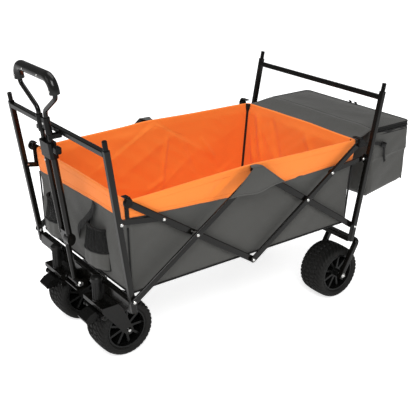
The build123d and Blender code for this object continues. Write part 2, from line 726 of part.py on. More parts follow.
def handle_upper_collar():
    """Two sleeves, a web and a side lug that join the inner tubes to the grip loop."""
    with BuildPart() as collar:
        for y in (-HANDLE_GAP / 2, HANDLE_GAP / 2):
            with BuildSketch(handle_ring_plane(y, UPPER_COLLAR_S[0])):
                Circle(9.5)
            extrude(amount=UPPER_COLLAR_S[1] - UPPER_COLLAR_S[0])
        with BuildSketch(HANDLE_FACE):
            with Locations((0, UPPER_COLLAR_S[1] - 21.0)):
                RectangleRounded(HANDLE_GAP, 30.0, 4.0)
        extrude(amount=3.5, both=True)
        lug = HANDLE_BASE + HANDLE_AXIS * (UPPER_COLLAR_S[0] + 7.0)
        with BuildSketch(Plane(origin=(lug.X, -HANDLE_GAP / 2 - 7.0, lug.Z), x_dir=(1, 0, 0), z_dir=(0, -1, 0))):
            RectangleRounded(12.0, 13.0, 3.0)
        extrude(amount=14.0)
        for y in (-HANDLE_GAP / 2, HANDLE_GAP / 2):
            with BuildSketch(handle_ring_plane(y, UPPER_COLLAR_S[0] - 5.0)):
                Circle(INNER_TUBE_R + 0.05)
            extrude(amount=70.0, mode=Mode.SUBTRACT)
    save(collar, "handle_upper_collar")


def handle_loop():
    """Bent steel tube of the D grip."""
    half = HANDLE_GAP / 2
    points = ((-half, 491.0), (-half, 532.0), (-GRIP_HALF, 585.0), (-GRIP_HALF, GRIP_S),
              (GRIP_HALF, GRIP_S), (GRIP_HALF, 585.0), (half, 532.0), (half, 491.0))
    with BuildPart() as loop:
        with BuildLine(HANDLE_FACE) as path:
            FilletPolyline(*points, radius=(22.0, 16.0, 34.0, 34.0, 16.0, 22.0))
        with BuildSketch(Plane(origin=path.line @ 0, x_dir=(0, 1, 0), z_dir=path.line % 0)):
            Circle(INNER_TUBE_R)
            Circle(INNER_TUBE_R - 1.2, mode=Mode.SUBTRACT)
        sweep(path=path.line)
    save(loop, "handle_loop")


def handle_grip():
    """Thick moulded cover over the top of the D grip."""
    points = ((-GRIP_HALF, 597.0), (-GRIP_HALF, GRIP_S), (GRIP_HALF, GRIP_S), (GRIP_HALF, 597.0))
    with BuildPart() as grip:
        with BuildLine(HANDLE_FACE) as path:
            FilletPolyline(*points, radius=34.0)
        with BuildSketch(Plane(origin=path.line @ 0, x_dir=(0, 1, 0), z_dir=path.line % 0)):
            Circle(GRIP_R)
            Circle(INNER_TUBE_R + 0.1, mode=Mode.SUBTRACT)
        sweep(path=path.line)
    save(grip, "handle_grip")


# ---------------------------------------------------------------- fabric parts
def tub(off, low, high):
    """Tapering block with the basket's outline, grown by an offset, between two heights."""
    floor_x0, floor_x1, floor_z = BASKET_FLOOR
    rim_x0, rim_x1, rim_z = BASKET_RIM

    def outline(height):
        share = (height - floor_z) / (rim_z - floor_z)
        x0 = floor_x0 + (rim_x0 - floor_x0) * share - off
        x1 = floor_x1 + (rim_x1 - floor_x1) * share + off
        return x0, x1

    with BuildPart() as block:
        for height in (low, high):
            x0, x1 = outline(height)
            with BuildSketch(Plane(origin=((x0 + x1) / 2, 0, height))):
                Rectangle(x1 - x0, 2 * (BASKET_Y + off))
        loft()
    return block.part


def basket_shell():
    """Grey outer fabric of the basket: a closed floor and four walls."""
    outer = tub(0.0, BASKET_FLOOR[2], BASKET_RIM[2])
    hollow = tub(-SHELL_T, BASKET_FLOOR[2] + SHELL_T, BASKET_RIM[2] + 5.0)
    with BuildPart() as shell:
        add(outer)
        add(hollow, mode=Mode.SUBTRACT)
    save(shell, "basket_shell")


def basket_liner():
    """Bright lining that covers the inside, folds over the rim and hangs down outside."""
    inside = tub(-SHELL_T - 0.2, BASKET_FLOOR[2] + SHELL_T + 0.2, BASKET_RIM[2] + 2.6)
    band = tub(BAND_T, BAND_LOW_Z, BASKET_RIM[2] + 2.6)
    shell_room = tub(0.1, BAND_LOW_Z - 5.0, BASKET_RIM[2] + 0.2)
    core = tub(-SHELL_T - 0.2, BASKET_FLOOR[2], BASKET_RIM[2] + 10.0)
    hollow = tub(-SHELL_T - 0.2 - LINER_T, BASKET_FLOOR[2] + SHELL_T + 0.2 + LINER_T, BASKET_RIM[2] + 6.0)
    room = shell_room - core
    with BuildPart() as liner:
        add(inside)
        add(band)
        add(room, mode=Mode.SUBTRACT)
        add(hollow, mode=Mode.SUBTRACT)
    save(liner, "basket_liner")


def front_pocket(name, middle_y):
    """Gathered pocket on the front wall, open at the top."""
    back_x = FRONT_X - 2.6
    low_z = 268.0
    with BuildPart() as pocket:
        face = Plane(origin=(back_x, middle_y, low_z), x_dir=(0, 1, 0), z_dir=(1, 0, 0))
        with BuildSketch(face):
            with BuildLine():
                Polyline((-68, 0), (68, 0), (68, 62), (50, 137), (-42, 137), (-68, 62), close=True)
            make_face()
        extrude(amount=26.0)
        with BuildSketch(face.offset(2.5)):
            with BuildLine():
                Polyline((-65, 3), (65, 3), (65, 62), (47, 145), (-39, 145), (-65, 62), close=True)
            make_face()
        extrude(amount=21.0, mode=Mode.SUBTRACT)
    save(pocket, name)


def bag_block(inset, top_z):
    """Block with the bag's outline and sloping floor, shrunk by an inset."""
    length = BAG_FRONT_X - BAG_REAR_X
    floor = Plane(origin=(BAG_REAR_X, 0, BAG_LOW_Z + inset), z_dir=(BAG_DROP, 0, length))
    with BuildPart() as block:
        with BuildSketch(Plane(origin=((BAG_FRONT_X + BAG_REAR_X) / 2, 0, BAG_LOW_Z - BAG_DROP - 10.0))):
            RectangleRounded(length - 2 * inset, 2 * BAG_Y - 2 * inset, 14.0 - inset)
        extrude(amount=top_z - BAG_LOW_Z + BAG_DROP + 10.0)
        split(bisect_by=floor, keep=Keep.TOP)
    return block.part


def storage_bag():
    """Rear bag: an open-topped body, a zip band, a lid and the apron that joins it to the basket."""
    length = BAG_FRONT_X - BAG_REAR_X
    middle = (BAG_FRONT_X + BAG_REAR_X) / 2
    with BuildPart() as body:
        add(bag_block(0.0, BAG_TOP_Z))
        add(bag_block(4.0, BAG_TOP_Z + 5.0), mode=Mode.SUBTRACT)
    save(body, "storage_bag_body")
    with BuildPart() as lid:
        with BuildSketch(Plane(origin=(middle - 2.0, 0, BAG_TOP_Z + 0.4))):
            RectangleRounded(length, 2 * BAG_Y + 4.0, 16.0)
        extrude(amount=LID_T)
    save(lid, "storage_bag_lid")
    with BuildPart() as band:
        with BuildSketch(Plane(origin=(middle - 1.0, 0, BAG_TOP_Z - 13.0))):
            RectangleRounded(length + 2.0, 2 * BAG_Y + 4.0, 15.5)
            RectangleRounded(length + 0.4, 2 * BAG_Y + 0.4, 14.2, mode=Mode.SUBTRACT)
            with Locations((length / 2 - 1.0, 0)):
                Rectangle(24.0, 2 * BAG_Y + 10.0, mode=Mode.SUBTRACT)
        extrude(amount=13.0)
        for y in (6.0, 24.0):
            with BuildSketch(Plane(origin=(BAG_REAR_X - 5.2, y, BAG_TOP_Z - 16.0))):
                RectangleRounded(5.0, 7.0, 1.5)
            extrude(amount=14.0)
    save(band, "storage_bag_zipper")
    with BuildPart() as apron:
        x0 = BAG_FRONT_X + 0.6
        x1 = BASKET_RIM[0] - BAND_T - 0.6
        with BuildSketch(Plane(origin=((x0 + x1) / 2, 0, BAG_TOP_Z - 2.0))):
            Rectangle(x1 - x0, 524.0)
        extrude(amount=3.0)
    save(apron, "storage_bag_apron")


# ---------------------------------------------------------------- build everything
REAR_LINK = (REAR_X + REAR_LINK_ON_POST[0], LOW_Z + REAR_LINK_ON_POST[1])
FRONT_LINK = (FRONT_X + FRONT_LINK_ON_POST[0], LOW_Z + FRONT_LINK_ON_POST[1])

for word, side in (("left", 1), ("right", -1)):
    corner_post(f"rear_post_{word}", REAR_X, REAR_LEAN, side * REAR_POST_Y, REAR_POST_FOOT_Z,
                REAR_LINK_ON_POST, True)
    corner_post(f"front_post_{word}", FRONT_X, FRONT_LEAN, side * FRONT_POST_Y, FRONT_POST_FOOT_Z,
                FRONT_LINK_ON_POST, False)
    rear_fork(f"rear_fork_{word}", side)
    tyre(f"rear_tyre_{word}", REAR_AXLE_X, side * REAR_WHEEL_Y)
    rim(f"rear_rim_{word}", REAR_AXLE_X, side * REAR_WHEEL_Y)
    tyre(f"front_tyre_{word}", FRONT_AXLE_X, side * CASTER_Y)
    rim(f"front_rim_{word}", FRONT_AXLE_X, side * CASTER_Y)
    caster_fork(f"caster_fork_{word}", side)
    brake_pedal(f"brake_pedal_{word}", side)

front_pocket("front_pocket_left", 101.0)
front_pocket("front_pocket_right", -150.0)
top_bar("rear_top_bar", REAR_X, REAR_LEAN, REAR_POST_Y, TOP_BAR_DROP_REAR)
top_bar("front_top_bar", FRONT_X, FRONT_LEAN, FRONT_POST_Y, TOP_BAR_DROP_FRONT)
canopy_plugs("rear_canopy_plugs", REAR_X, REAR_LEAN, REAR_POST_Y)
canopy_plugs("front_canopy_plugs", FRONT_X, FRONT_LEAN, FRONT_POST_Y)
rear_lower_beam()
rear_axle_bolts()
front_lower_beam()
caster_housings()
handle_clip()
scissor_tubes()
links("front_links", FRONT_LINK, FRONT_LINK_ARM, FRONT_LINK_Y)
links("rear_links", REAR_LINK, REAR_LINK_ARM, REAR_LINK_Y)
front_cross_rivets()
rear_tube_rivets()
mid_hubs()
mid_flaps()
corner_hubs("front_corner_hubs", FRONT_TOP, INNER_Y)
corner_hubs("rear_corner_hubs", REAR_TOP, REAR_OUTER_Y)
frame_rivets()
handle_outer_frame()
handle_collar()
handle_knob()
handle_inner_tubes()
handle_upper_collar()
handle_loop()
handle_grip()
basket_shell()
basket_liner()
storage_bag()
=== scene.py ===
"""Looks of the folding wagon: fabric, tread, stitching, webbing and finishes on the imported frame."""
import bpy
import bmesh
import json
import math
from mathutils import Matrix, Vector, noise

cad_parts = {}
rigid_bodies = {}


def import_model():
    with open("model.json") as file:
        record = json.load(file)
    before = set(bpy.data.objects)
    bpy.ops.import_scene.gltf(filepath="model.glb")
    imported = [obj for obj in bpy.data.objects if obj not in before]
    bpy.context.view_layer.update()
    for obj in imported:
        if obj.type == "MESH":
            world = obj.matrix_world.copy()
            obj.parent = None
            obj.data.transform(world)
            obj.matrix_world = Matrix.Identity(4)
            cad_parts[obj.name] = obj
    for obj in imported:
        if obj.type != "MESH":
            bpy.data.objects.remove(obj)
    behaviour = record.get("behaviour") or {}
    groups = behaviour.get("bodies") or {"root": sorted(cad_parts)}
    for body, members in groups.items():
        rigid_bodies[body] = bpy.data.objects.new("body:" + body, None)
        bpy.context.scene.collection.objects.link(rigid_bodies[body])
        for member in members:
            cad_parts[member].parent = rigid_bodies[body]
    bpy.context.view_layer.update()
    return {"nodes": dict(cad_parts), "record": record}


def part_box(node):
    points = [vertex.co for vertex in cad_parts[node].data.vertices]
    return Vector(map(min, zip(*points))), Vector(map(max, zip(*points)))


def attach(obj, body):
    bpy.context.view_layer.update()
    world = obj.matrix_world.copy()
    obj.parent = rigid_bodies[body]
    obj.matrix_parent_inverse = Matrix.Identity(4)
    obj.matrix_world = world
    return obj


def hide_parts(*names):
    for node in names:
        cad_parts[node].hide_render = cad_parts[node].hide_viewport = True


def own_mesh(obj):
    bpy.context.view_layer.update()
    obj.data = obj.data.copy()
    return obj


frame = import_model()
nodes = frame["nodes"]
joints = {joint["name"]: joint for joint in frame["record"]["behaviour"]["joints"]}
SIDES = (("left", 1), ("right", -1))
UP = Vector((0, 0, 1))


# ---------------------------------------------------------------- camera, light and floor
CAMERA_PLACE = (1.4262, 1.8993, 1.303)
CAMERA_AZIMUTH = 143.88
CAMERA_ELEVATION = 22.99
LENS_MM = 68.43
LIGHTS = (  # name, place, target, size in metres, power in watts
    ("key", (1.6, 2.4, 2.9), (0.0, 0.0, 0.35), 1.6, 84.0),
    ("fill", (2.8, -0.6, 1.7), (0.2, 0.0, 0.4), 1.2, 6.0),
    ("top", (-0.7, -0.5, 3.2), (0.0, 0.0, 0.3), 2.2, 33.0))
SKY_STRENGTH, SKY_MIRRORED = 0.55, 0.16
FLOOR_GLOW, FLOOR_MIRRORED = 0.7, 0.05
WHITE = (1.0, 1.0, 1.0, 1.0)


def link(tree, a, out, b, into):
    tree.links.new(a.outputs[out], b.inputs[into])


def set_inputs(node, **values):
    """Sets sockets; an underscore in the keyword stands for a space in the socket's name."""
    for word, value in values.items():
        node.inputs[word.replace("_", " ")].default_value = value


def aim(azimuth, elevation):
    """Direction of view for an azimuth and an elevation in degrees."""
    a = math.radians(azimuth)
    e = math.radians(elevation)
    return Vector((-math.sin(a) * math.cos(e), math.cos(a) * math.cos(e), -math.sin(e)))


def put(name, data, place, direction):
    """Adds a camera or a light that looks along a direction."""
    obj = bpy.data.objects.new(name, data)
    bpy.context.scene.collection.objects.link(obj)
    obj.location = place
    obj.rotation_euler = direction.to_track_quat("-Z", "Y").to_euler()
    return obj


def make_camera():
    data = bpy.data.cameras.new("camera")
    data.sensor_width = 36.0
    data.lens = LENS_MM
    data.clip_end = 50.0
    bpy.context.scene.camera = put("camera", data, CAMERA_PLACE, aim(CAMERA_AZIMUTH, CAMERA_ELEVATION))


def make_lights():
    for name, place, target, size, power in LIGHTS:
        data = bpy.data.lights.new(name, "AREA")
        data.size = size
        data.energy = power
        put(name, data, place, Vector(target) - Vector(place))


def dim_reflection(tree, node, socket, full, mirrored):
    """Strength that is lower for what glossy surfaces reflect, so black paint stays black."""
    path = tree.nodes.new("ShaderNodeLightPath")
    level = tree.nodes.new("ShaderNodeMapRange")
    set_inputs(level, To_Min=full, To_Max=mirrored)
    link(tree, path, "Is Glossy Ray", level, "Value")
    link(tree, level, "Result", node, socket)
    return path, level


def make_world():
    """Soft white light all round; the camera itself sees plain white."""
    world = bpy.data.worlds.new("studio")
    bpy.context.scene.world = world
    world.use_nodes = True
    tree = world.node_tree
    sky = tree.nodes["Background"]
    set_inputs(sky, Color=WHITE)
    path, level = dim_reflection(tree, sky, "Strength", SKY_STRENGTH, SKY_MIRRORED)
    brightest = tree.nodes.new("ShaderNodeMath")
    brightest.operation = "MAXIMUM"
    link(tree, path, "Is Camera Ray", brightest, 0)
    link(tree, level, "Result", brightest, 1)
    link(tree, brightest, "Value", sky, "Strength")


def make_floor():
    bpy.ops.mesh.primitive_plane_add(size=30.0, location=(0, 0, -0.0006))
    floor = bpy.context.object
    floor.name = "floor"
    material = bpy.data.materials.new("floor_white")
    material.use_nodes = True
    shader = material.node_tree.nodes["Principled BSDF"]
    set_inputs(shader, Base_Color=(0.93, 0.93, 0.93, 1.0), Roughness=0.9, Emission_Color=WHITE)
    dim_reflection(material.node_tree, shader, "Emission Strength", FLOOR_GLOW, FLOOR_MIRRORED)
    floor.data.materials.append(material)


make_camera()
make_world()
make_lights()
make_floor()
bpy.context.scene.view_settings.view_transform = "Standard"


# ---------------------------------------------------------------- materials
WAVE_UNIT = 0.314159  # scale of a wave texture whose bands are one metre apart
WEAVE_DEPTH = 0.00022
RIB_PITCH = 0.0016
NET_CELLS = 480.0
BLOTCH = 9.0


def tint(tree, shader, source, out, low, high):
    """Base colour between two tones, driven by a texture."""
    node = tree.nodes.new("ShaderNodeMix")
    node.data_type = "RGBA"
    node.inputs["A"].default_value = (*low, 1.0)
    node.inputs["B"].default_value = (*high, 1.0)
    link(tree, source, out, node, "Factor")
    link(tree, node, "Result", shader, "Base Color")


def gloss(tree, shader, source, low, high):
    """Roughness between two values, driven by the middle half of a noise."""
    node = tree.nodes.new("ShaderNodeMapRange")
    set_inputs(node, From_Min=0.25, From_Max=0.75, To_Min=low, To_Max=high)
    link(tree, source, "Fac", node, "Value")
    link(tree, node, "Result", shader, "Roughness")


def noise_node(tree, coords, out, scale, detail):
    node = tree.nodes.new("ShaderNodeTexNoise")
    set_inputs(node, Scale=scale, Detail=detail)
    link(tree, coords, out, node, "Vector")
    return node


def wave_node(tree, coords, direction, pitch):
    """Bands at a pitch in metres across the cloth's UVs."""
    node = tree.nodes.new("ShaderNodeTexWave")
    node.bands_direction = direction
    set_inputs(node, Scale=WAVE_UNIT / pitch)
    link(tree, coords, "UV", node, "Vector")
    return node


def math_node(tree, operation, first, second, third=None):
    """Math node; each operand is a node with the name of its output, or a number."""
    node = tree.nodes.new("ShaderNodeMath")
    node.operation = operation
    for i, operand in enumerate((first, second, third)):
        if isinstance(operand, tuple):
            link(tree, *operand, node, i)
        elif operand is not None:
            node.inputs[i].default_value = operand
    return node


def bump(tree, shader, source, out, strength, distance, before=None):
    """Relief on the shader, on top of an earlier relief where there is one."""
    node = tree.nodes.new("ShaderNodeBump")
    set_inputs(node, Strength=strength, Distance=distance)
    link(tree, source, out, node, "Height")
    if before:
        link(tree, before, "Normal", node, "Normal")
    link(tree, node, "Normal", shader, "Normal")
    return node


def base_material(name):
    material = bpy.data.materials.new(name)
    material.use_nodes = True
    tree = material.node_tree
    coords = tree.nodes.new("ShaderNodeTexCoord")
    return material, tree, tree.nodes["Principled BSDF"], coords


def hard_material(name, low, high, rough, grain, depth, metallic=0.0, coat=0.0, specular=0.5):
    """Paint, plastic or metal: blotchy colour, uneven gloss and a fine grain."""
    material, tree, shader, coords = base_material(name)
    tint(tree, shader, noise_node(tree, coords, "Object", BLOTCH, 5.0), "Fac", low, high)
    gloss(tree, shader, noise_node(tree, coords, "Object", BLOTCH * 7.0, 3.0), *rough)
    bump(tree, shader, noise_node(tree, coords, "Object", grain, 2.0), "Fac", 0.35, depth)
    set_inputs(shader, Metallic=metallic, Coat_Weight=coat, Coat_Roughness=0.12, Specular_IOR_Level=specular)
    return material


def cloth_material(name, low, high, pitch=0.0011, crease=0.0035, sheen=0.12):
    """Plain-weave cloth on UVs in metres: yarns both ways, slub, soft creases and sheen."""
    material, tree, shader, coords = base_material(name)
    yarns = []
    for direction in ("X", "Y"):
        wave = wave_node(tree, coords, direction, pitch)
        set_inputs(wave, Distortion=0.6, Detail=1.0)
        yarns.append((wave, "Fac"))
    weave = math_node(tree, "MULTIPLY", *yarns)
    slub = noise_node(tree, coords, "UV", 420.0, 3.0)
    cloud = noise_node(tree, coords, "Object", 5.0, 6.0)
    part = math_node(tree, "MULTIPLY", (cloud, "Fac"), 0.55)
    blend = math_node(tree, "MULTIPLY_ADD", (slub, "Fac"), 0.45, (part, "Value"))
    tint(tree, shader, blend, "Value", low, high)
    gloss(tree, shader, slub, 0.72, 0.9)
    soft = bump(tree, shader, noise_node(tree, coords, "Object", 14.0, 4.0), "Fac", 0.5, crease)
    bump(tree, shader, weave, "Value", 0.5, WEAVE_DEPTH, soft)
    set_inputs(shader, Sheen_Weight=sheen, Sheen_Roughness=0.5, Specular_IOR_Level=0.25)
    return material


def net_material(name, low, high):
    """Black net: fine holes between threads, partly see-through."""
    material, tree, shader, coords = base_material(name)
    cells = tree.nodes.new("ShaderNodeTexVoronoi")
    cells.feature = "DISTANCE_TO_EDGE"
    set_inputs(cells, Scale=NET_CELLS)
    link(tree, coords, "UV", cells, "Vector")
    threads = math_node(tree, "LESS_THAN", (cells, "Distance"), 0.14)
    alpha = tree.nodes.new("ShaderNodeMapRange")
    set_inputs(alpha, To_Min=0.8, To_Max=1.0)
    link(tree, threads, "Value", alpha, "Value")
    link(tree, alpha, "Result", shader, "Alpha")
    tint(tree, shader, noise_node(tree, coords, "Object", 30.0, 3.0), "Fac", low, high)
    bump(tree, shader, threads, "Value", 0.4, 0.0004)
    set_inputs(shader, Roughness=0.7, Specular_IOR_Level=0.15)
    return material


def webbing_material(name, low, high):
    """Webbing or thread with fine cross ribs."""
    material, tree, shader, coords = base_material(name)
    wide = noise_node(tree, coords, "Object", 60.0, 3.0)
    tint(tree, shader, wide, "Fac", low, high)
    gloss(tree, shader, wide, 0.6, 0.85)
    bump(tree, shader, wave_node(tree, coords, "X", RIB_PITCH), "Fac", 0.7, 0.0004)
    set_inputs(shader, Sheen_Weight=0.05, Specular_IOR_Level=0.2)
    return material


# hard finishes: darker tone, lighter tone, roughness from and to, grain per metre, grain depth
PAINT = hard_material("satin_black_paint", (0.002, 0.0019, 0.0017), (0.0048, 0.0044, 0.0036),
                      (0.13, 0.24), 900.0, 0.00002, coat=0.08, specular=0.24)
PLASTIC = hard_material("moulded_black_plastic", (0.0022, 0.0022, 0.0021), (0.005, 0.0049, 0.0046),
                        (0.18, 0.3), 1500.0, 0.00003, specular=0.15)
HOUSING = hard_material("glass_filled_black", (0.0038, 0.0038, 0.0036), (0.0085, 0.0082, 0.0078),
                        (0.3, 0.45), 1200.0, 0.00008, specular=0.25)
GRIP = hard_material("satin_grip", (0.004, 0.004, 0.004), (0.009, 0.009, 0.0085),
                     (0.16, 0.26), 1100.0, 0.00003, specular=0.3)
ZINC = hard_material("bright_zinc", (0.55, 0.55, 0.53), (0.8, 0.8, 0.78),
                     (0.22, 0.42), 500.0, 0.0001, metallic=1.0)
RUBBER = hard_material("charcoal_rubber", (0.005, 0.005, 0.0047), (0.0135, 0.0131, 0.0122),
                       (0.45, 0.65), 700.0, 0.00015, specular=0.16)
RIM_PAINT = hard_material("satin_black_rim", (0.0028, 0.0028, 0.0028), (0.0065, 0.0065, 0.0062),
                          (0.2, 0.34), 900.0, 0.00003, specular=0.25)
ORANGE = cloth_material("orange_cloth", (0.79, 0.184, 0.021), (0.9, 0.242, 0.04))
GREY = cloth_material("grey_cloth", (0.04, 0.04, 0.037), (0.072, 0.071, 0.066))
BINDING = cloth_material("black_binding", (0.004, 0.004, 0.004), (0.0095, 0.0095, 0.009),
                         pitch=0.0008, crease=0.0008, sheen=0.05)
NET = net_material("black_net", (0.003, 0.003, 0.003), (0.009, 0.009, 0.0085))
WEBBING = webbing_material("black_webbing", (0.0035, 0.0035, 0.0035), (0.009, 0.009, 0.0085))
ORANGE_THREAD = webbing_material("orange_thread", (0.62, 0.13, 0.02), (0.75, 0.18, 0.03))
GREY_THREAD = webbing_material("grey_thread", (0.035, 0.035, 0.033), (0.065, 0.065, 0.061))

FINISHES = (  # the first row with a word of the node's name gives its finish
    (("rivets", "bolts"), ZINC),
    (("rim",), RIM_PAINT),
    (("tyre",), RUBBER),
    (("housings",), HOUSING),
    (("handle_grip",), GRIP),
    (("hub", "plug", "pedal", "clip", "collar", "knob"), PLASTIC),
    (("zipper",), BINDING),
    (("basket_liner",), ORANGE),
    (("basket", "storage", "front_pocket", "mid_flaps"), GREY),
    (("",), PAINT))


def paint_nodes():
    """Gives every CAD node the finish of what it is."""
    for name, obj in nodes.items():
        obj.data.materials.clear()
        obj.data.materials.append(next(paint for words, paint in FINISHES if any(w in name for w in words)))


paint_nodes()


# ---------------------------------------------------------------- curves and noise
def spread(low, high, count):
    """Evenly spaced values from low to high, both ends included."""
    return [low + (high - low) * i / (count - 1) for i in range(count)]


def ripple(x, y, z, seed):
    """Smooth noise from -1 to 1."""
    return noise.noise(Vector((x, y, z + seed * 17.3)))


def step_smooth(value, low, high):
    t = max(0.0, min(1.0, (value - low) / (high - low)))
    return t * t * (3 - 2 * t)


def bell(value, centre, width):
    """1 at the centre, falling smoothly to 0 on both sides."""
    return math.exp(-((value - centre) / width) ** 2)


def smooth_path(points, count):
    """Points along a smooth curve (Catmull-Rom) through the given ones."""
    pts = [Vector(p) for p in points]
    pts = [pts[0] * 2 - pts[1]] + pts + [pts[-1] * 2 - pts[-2]]
    out = []
    spans = len(pts) - 3
    for t in spread(0, spans, count):
        k = min(int(t), spans - 1)
        t -= k
        a, b, c, d = pts[k:k + 4]
        square = (2 * a - 5 * b + 4 * c - d) * t * t
        cube = (3 * b - a - 3 * c + d) * t ** 3
        out.append(0.5 * ((2 * b) + (c - a) * t + square + cube))
    return out


def walk(path, step):
    """Evenly spaced places along a path, with the direction there."""
    out = []
    need = 0.0
    for a, b in zip(path, path[1:]):
        run = b - a
        length = run.length
        if length < 1e-9:
            continue
        while need <= length:
            out.append((a + run * (need / length), run / length))
            need += step
        need -= length
    return out


# ---------------------------------------------------------------- mesh helpers
PIPING_SIDES = 8
# cross sections: share of the half width, share of the half thickness
STRAP_SECTION = ((-1, 0.3), (-0.9, 1), (0, 1), (0.9, 1), (1, 0.3),
                 (1, -0.3), (0.9, -1), (0, -1), (-0.9, -1), (-1, -0.3))
THREAD_SECTION = ((-1, -0.4), (-0.7, 0.7), (0.7, 0.7), (1, -0.4))
# rings: share of the stitch length or of the head's height, and the size there
THREAD_RINGS = ((-0.5, 0.35), (-0.3, 1.0), (0.3, 1.0), (0.5, 0.35))
DOME_RINGS = ((0.0, 1.0), (0.35, 1.0), (0.7, 0.86), (0.95, 0.55))
DOME_SIDES = 16


def new_piece(name, verts, faces, body, materials, uvs=None, face_slots=None):
    """Mesh object from lists, on a body, with UVs given per vertex in metres."""
    mesh = bpy.data.meshes.new(name)
    mesh.from_pydata(verts, [], faces)
    mesh.update()
    if uvs:
        layer = mesh.uv_layers.new(name="cloth")
        for loop in mesh.loops:
            layer.data[loop.index].uv = uvs[loop.vertex_index]
    for material in materials:
        mesh.materials.append(material)
    for polygon in mesh.polygons:
        polygon.use_smooth = True
        if face_slots:
            polygon.material_index = face_slots[polygon.index]
    piece = bpy.data.objects.new(name, mesh)
    bpy.context.scene.collection.objects.link(piece)
    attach(piece, body)
    return piece


def thicken(piece, amount, offset):
    """Cloth thickness, applied: all of it inwards at offset -1, half each way at 0."""
    modifier = piece.modifiers.new("thick", "SOLIDIFY")
    modifier.thickness = amount
    modifier.offset = offset
    graph = bpy.context.evaluated_depsgraph_get()
    mesh = bpy.data.meshes.new_from_object(piece.evaluated_get(graph))
    old = piece.data
    piece.modifiers.clear()
    piece.data = mesh
    mesh.name = piece.name
    bpy.data.meshes.remove(old)


def tidy_normals(piece):
    mesh = bmesh.new()
    mesh.from_mesh(piece.data)
    bmesh.ops.recalc_face_normals(mesh, faces=mesh.faces)
    mesh.to_mesh(piece.data)
    mesh.free()


def cloth(name, verts, faces, uvs, thick, offset=0.0, body="rear_frame", materials=(GREY,),
          face_slots=None, recalculate=True):
    """Cloth piece with a thickness."""
    piece = new_piece(name, verts, faces, body, materials, uvs, face_slots)
    if recalculate:
        tidy_normals(piece)
    thicken(piece, thick, offset)
    return piece


def lay_grid(columns, rows, place):
    """Vertices and UVs, column by column; place gives both for a column and a row."""
    spots = [place(c, r) for c in range(columns) for r in range(rows)]
    return [point for point, uv in spots], [uv for point, uv in spots]


def grid_faces(columns, rows, closed=False, start=0):
    """Quads of a grid whose vertices run column by column."""
    faces = []
    for c in range(columns if closed else columns - 1):
        a = start + c * rows
        b = start + (c + 1) % columns * rows
        faces += [(a + r, b + r, b + r + 1, a + r + 1) for r in range(rows - 1)]
    return faces


def close_bottom(faces, columns, rows, edge, starts):
    """Joins one row of a closed grid to the rings below it and fills the last ring."""
    for c in range(columns):
        d = (c + 1) % columns
        faces.append((c * rows + edge, starts[0] + c, starts[0] + d, d * rows + edge))
        for a, b in zip(starts, starts[1:]):
            faces.append((a + c, b + c, b + d, a + d))
    faces.append(tuple(starts[-1] + c for c in range(columns)))


def band_of_faces(sides, i, j):
    """Quads between two rings of vertices that start at i and j."""
    return [(i + s, j + s, j + (s + 1) % sides, i + (s + 1) % sides) for s in range(sides)]


def end_caps(sides, count):
    """Both end faces of a bar with count rings."""
    return [tuple(range(sides)), tuple(reversed(range((count - 1) * sides, count * sides)))]


def piping(name, path, radius, body="rear_frame", closed=False):
    """Round bound cord along a path."""
    verts, faces = [], []
    count = len(path)
    for i, p in enumerate(path):
        before = path[(i - 1) % count] if closed or i else p
        after = path[(i + 1) % count] if closed or i < count - 1 else p
        run = (after - before).normalized()
        across = run.cross(UP if abs(run.z) < 0.95 else Vector((1, 0, 0))).normalized()
        high = across.cross(run)
        for s in range(PIPING_SIDES):
            a = 2 * math.pi * s / PIPING_SIDES
            verts.append(p + across * (radius * math.cos(a)) + high * (radius * math.sin(a)))
    for i in range(count if closed else count - 1):
        faces += band_of_faces(PIPING_SIDES, i * PIPING_SIDES, (i + 1) % count * PIPING_SIDES)
    if not closed:
        faces += end_caps(PIPING_SIDES, count)
    return new_piece(name, verts, faces, body, [BINDING])


def ribbon(name, path, across, width, material, thick=0.0014, body="rear_frame"):
    """Flat strap along a path; across gives its width direction."""
    verts, uvs = [], []
    faces = []
    length = 0.0
    count = len(path)
    sides = len(STRAP_SECTION)
    for i, p in enumerate(path):
        run = (path[min(i + 1, count - 1)] - path[max(i - 1, 0)]).normalized()
        wide = (across - run * across.dot(run)).normalized()
        face = run.cross(wide)
        if i:
            length += (p - path[i - 1]).length
            faces += band_of_faces(sides, (i - 1) * sides, i * sides)
        for w, t in STRAP_SECTION:
            verts.append(p + wide * (w * width / 2) + face * (t * thick / 2))
            uvs.append((length, w * width / 2))
    faces += end_caps(sides, count)
    return new_piece(name, verts, faces, body, [material], uvs=uvs)


def stitches(name, paths, normals, material, body="rear_frame", step=0.0042, long=0.0028, radius=0.00042):
    """Rows of short raised threads along paths; an outward normal, or a rule for it, for each path."""
    verts, faces = [], []
    sides = len(THREAD_SECTION)
    for path, normal in zip(paths, normals):
        for p, run in walk(path, step):
            out = normal if isinstance(normal, Vector) else normal(p)
            side = run.cross(out).normalized()
            base = len(verts)
            for along, grow in THREAD_RINGS:
                for s, h in THREAD_SECTION:
                    verts.append(p + run * (along * long) + side * (s * radius * grow) + out * (h * radius * grow))
            for k in range(len(THREAD_RINGS) - 1):
                faces += band_of_faces(sides, base + k * sides, base + (k + 1) * sides)
            faces += [tuple(base + k for k in cap) for cap in end_caps(sides, len(THREAD_RINGS))]
    return new_piece(name, verts, faces, body, [material])


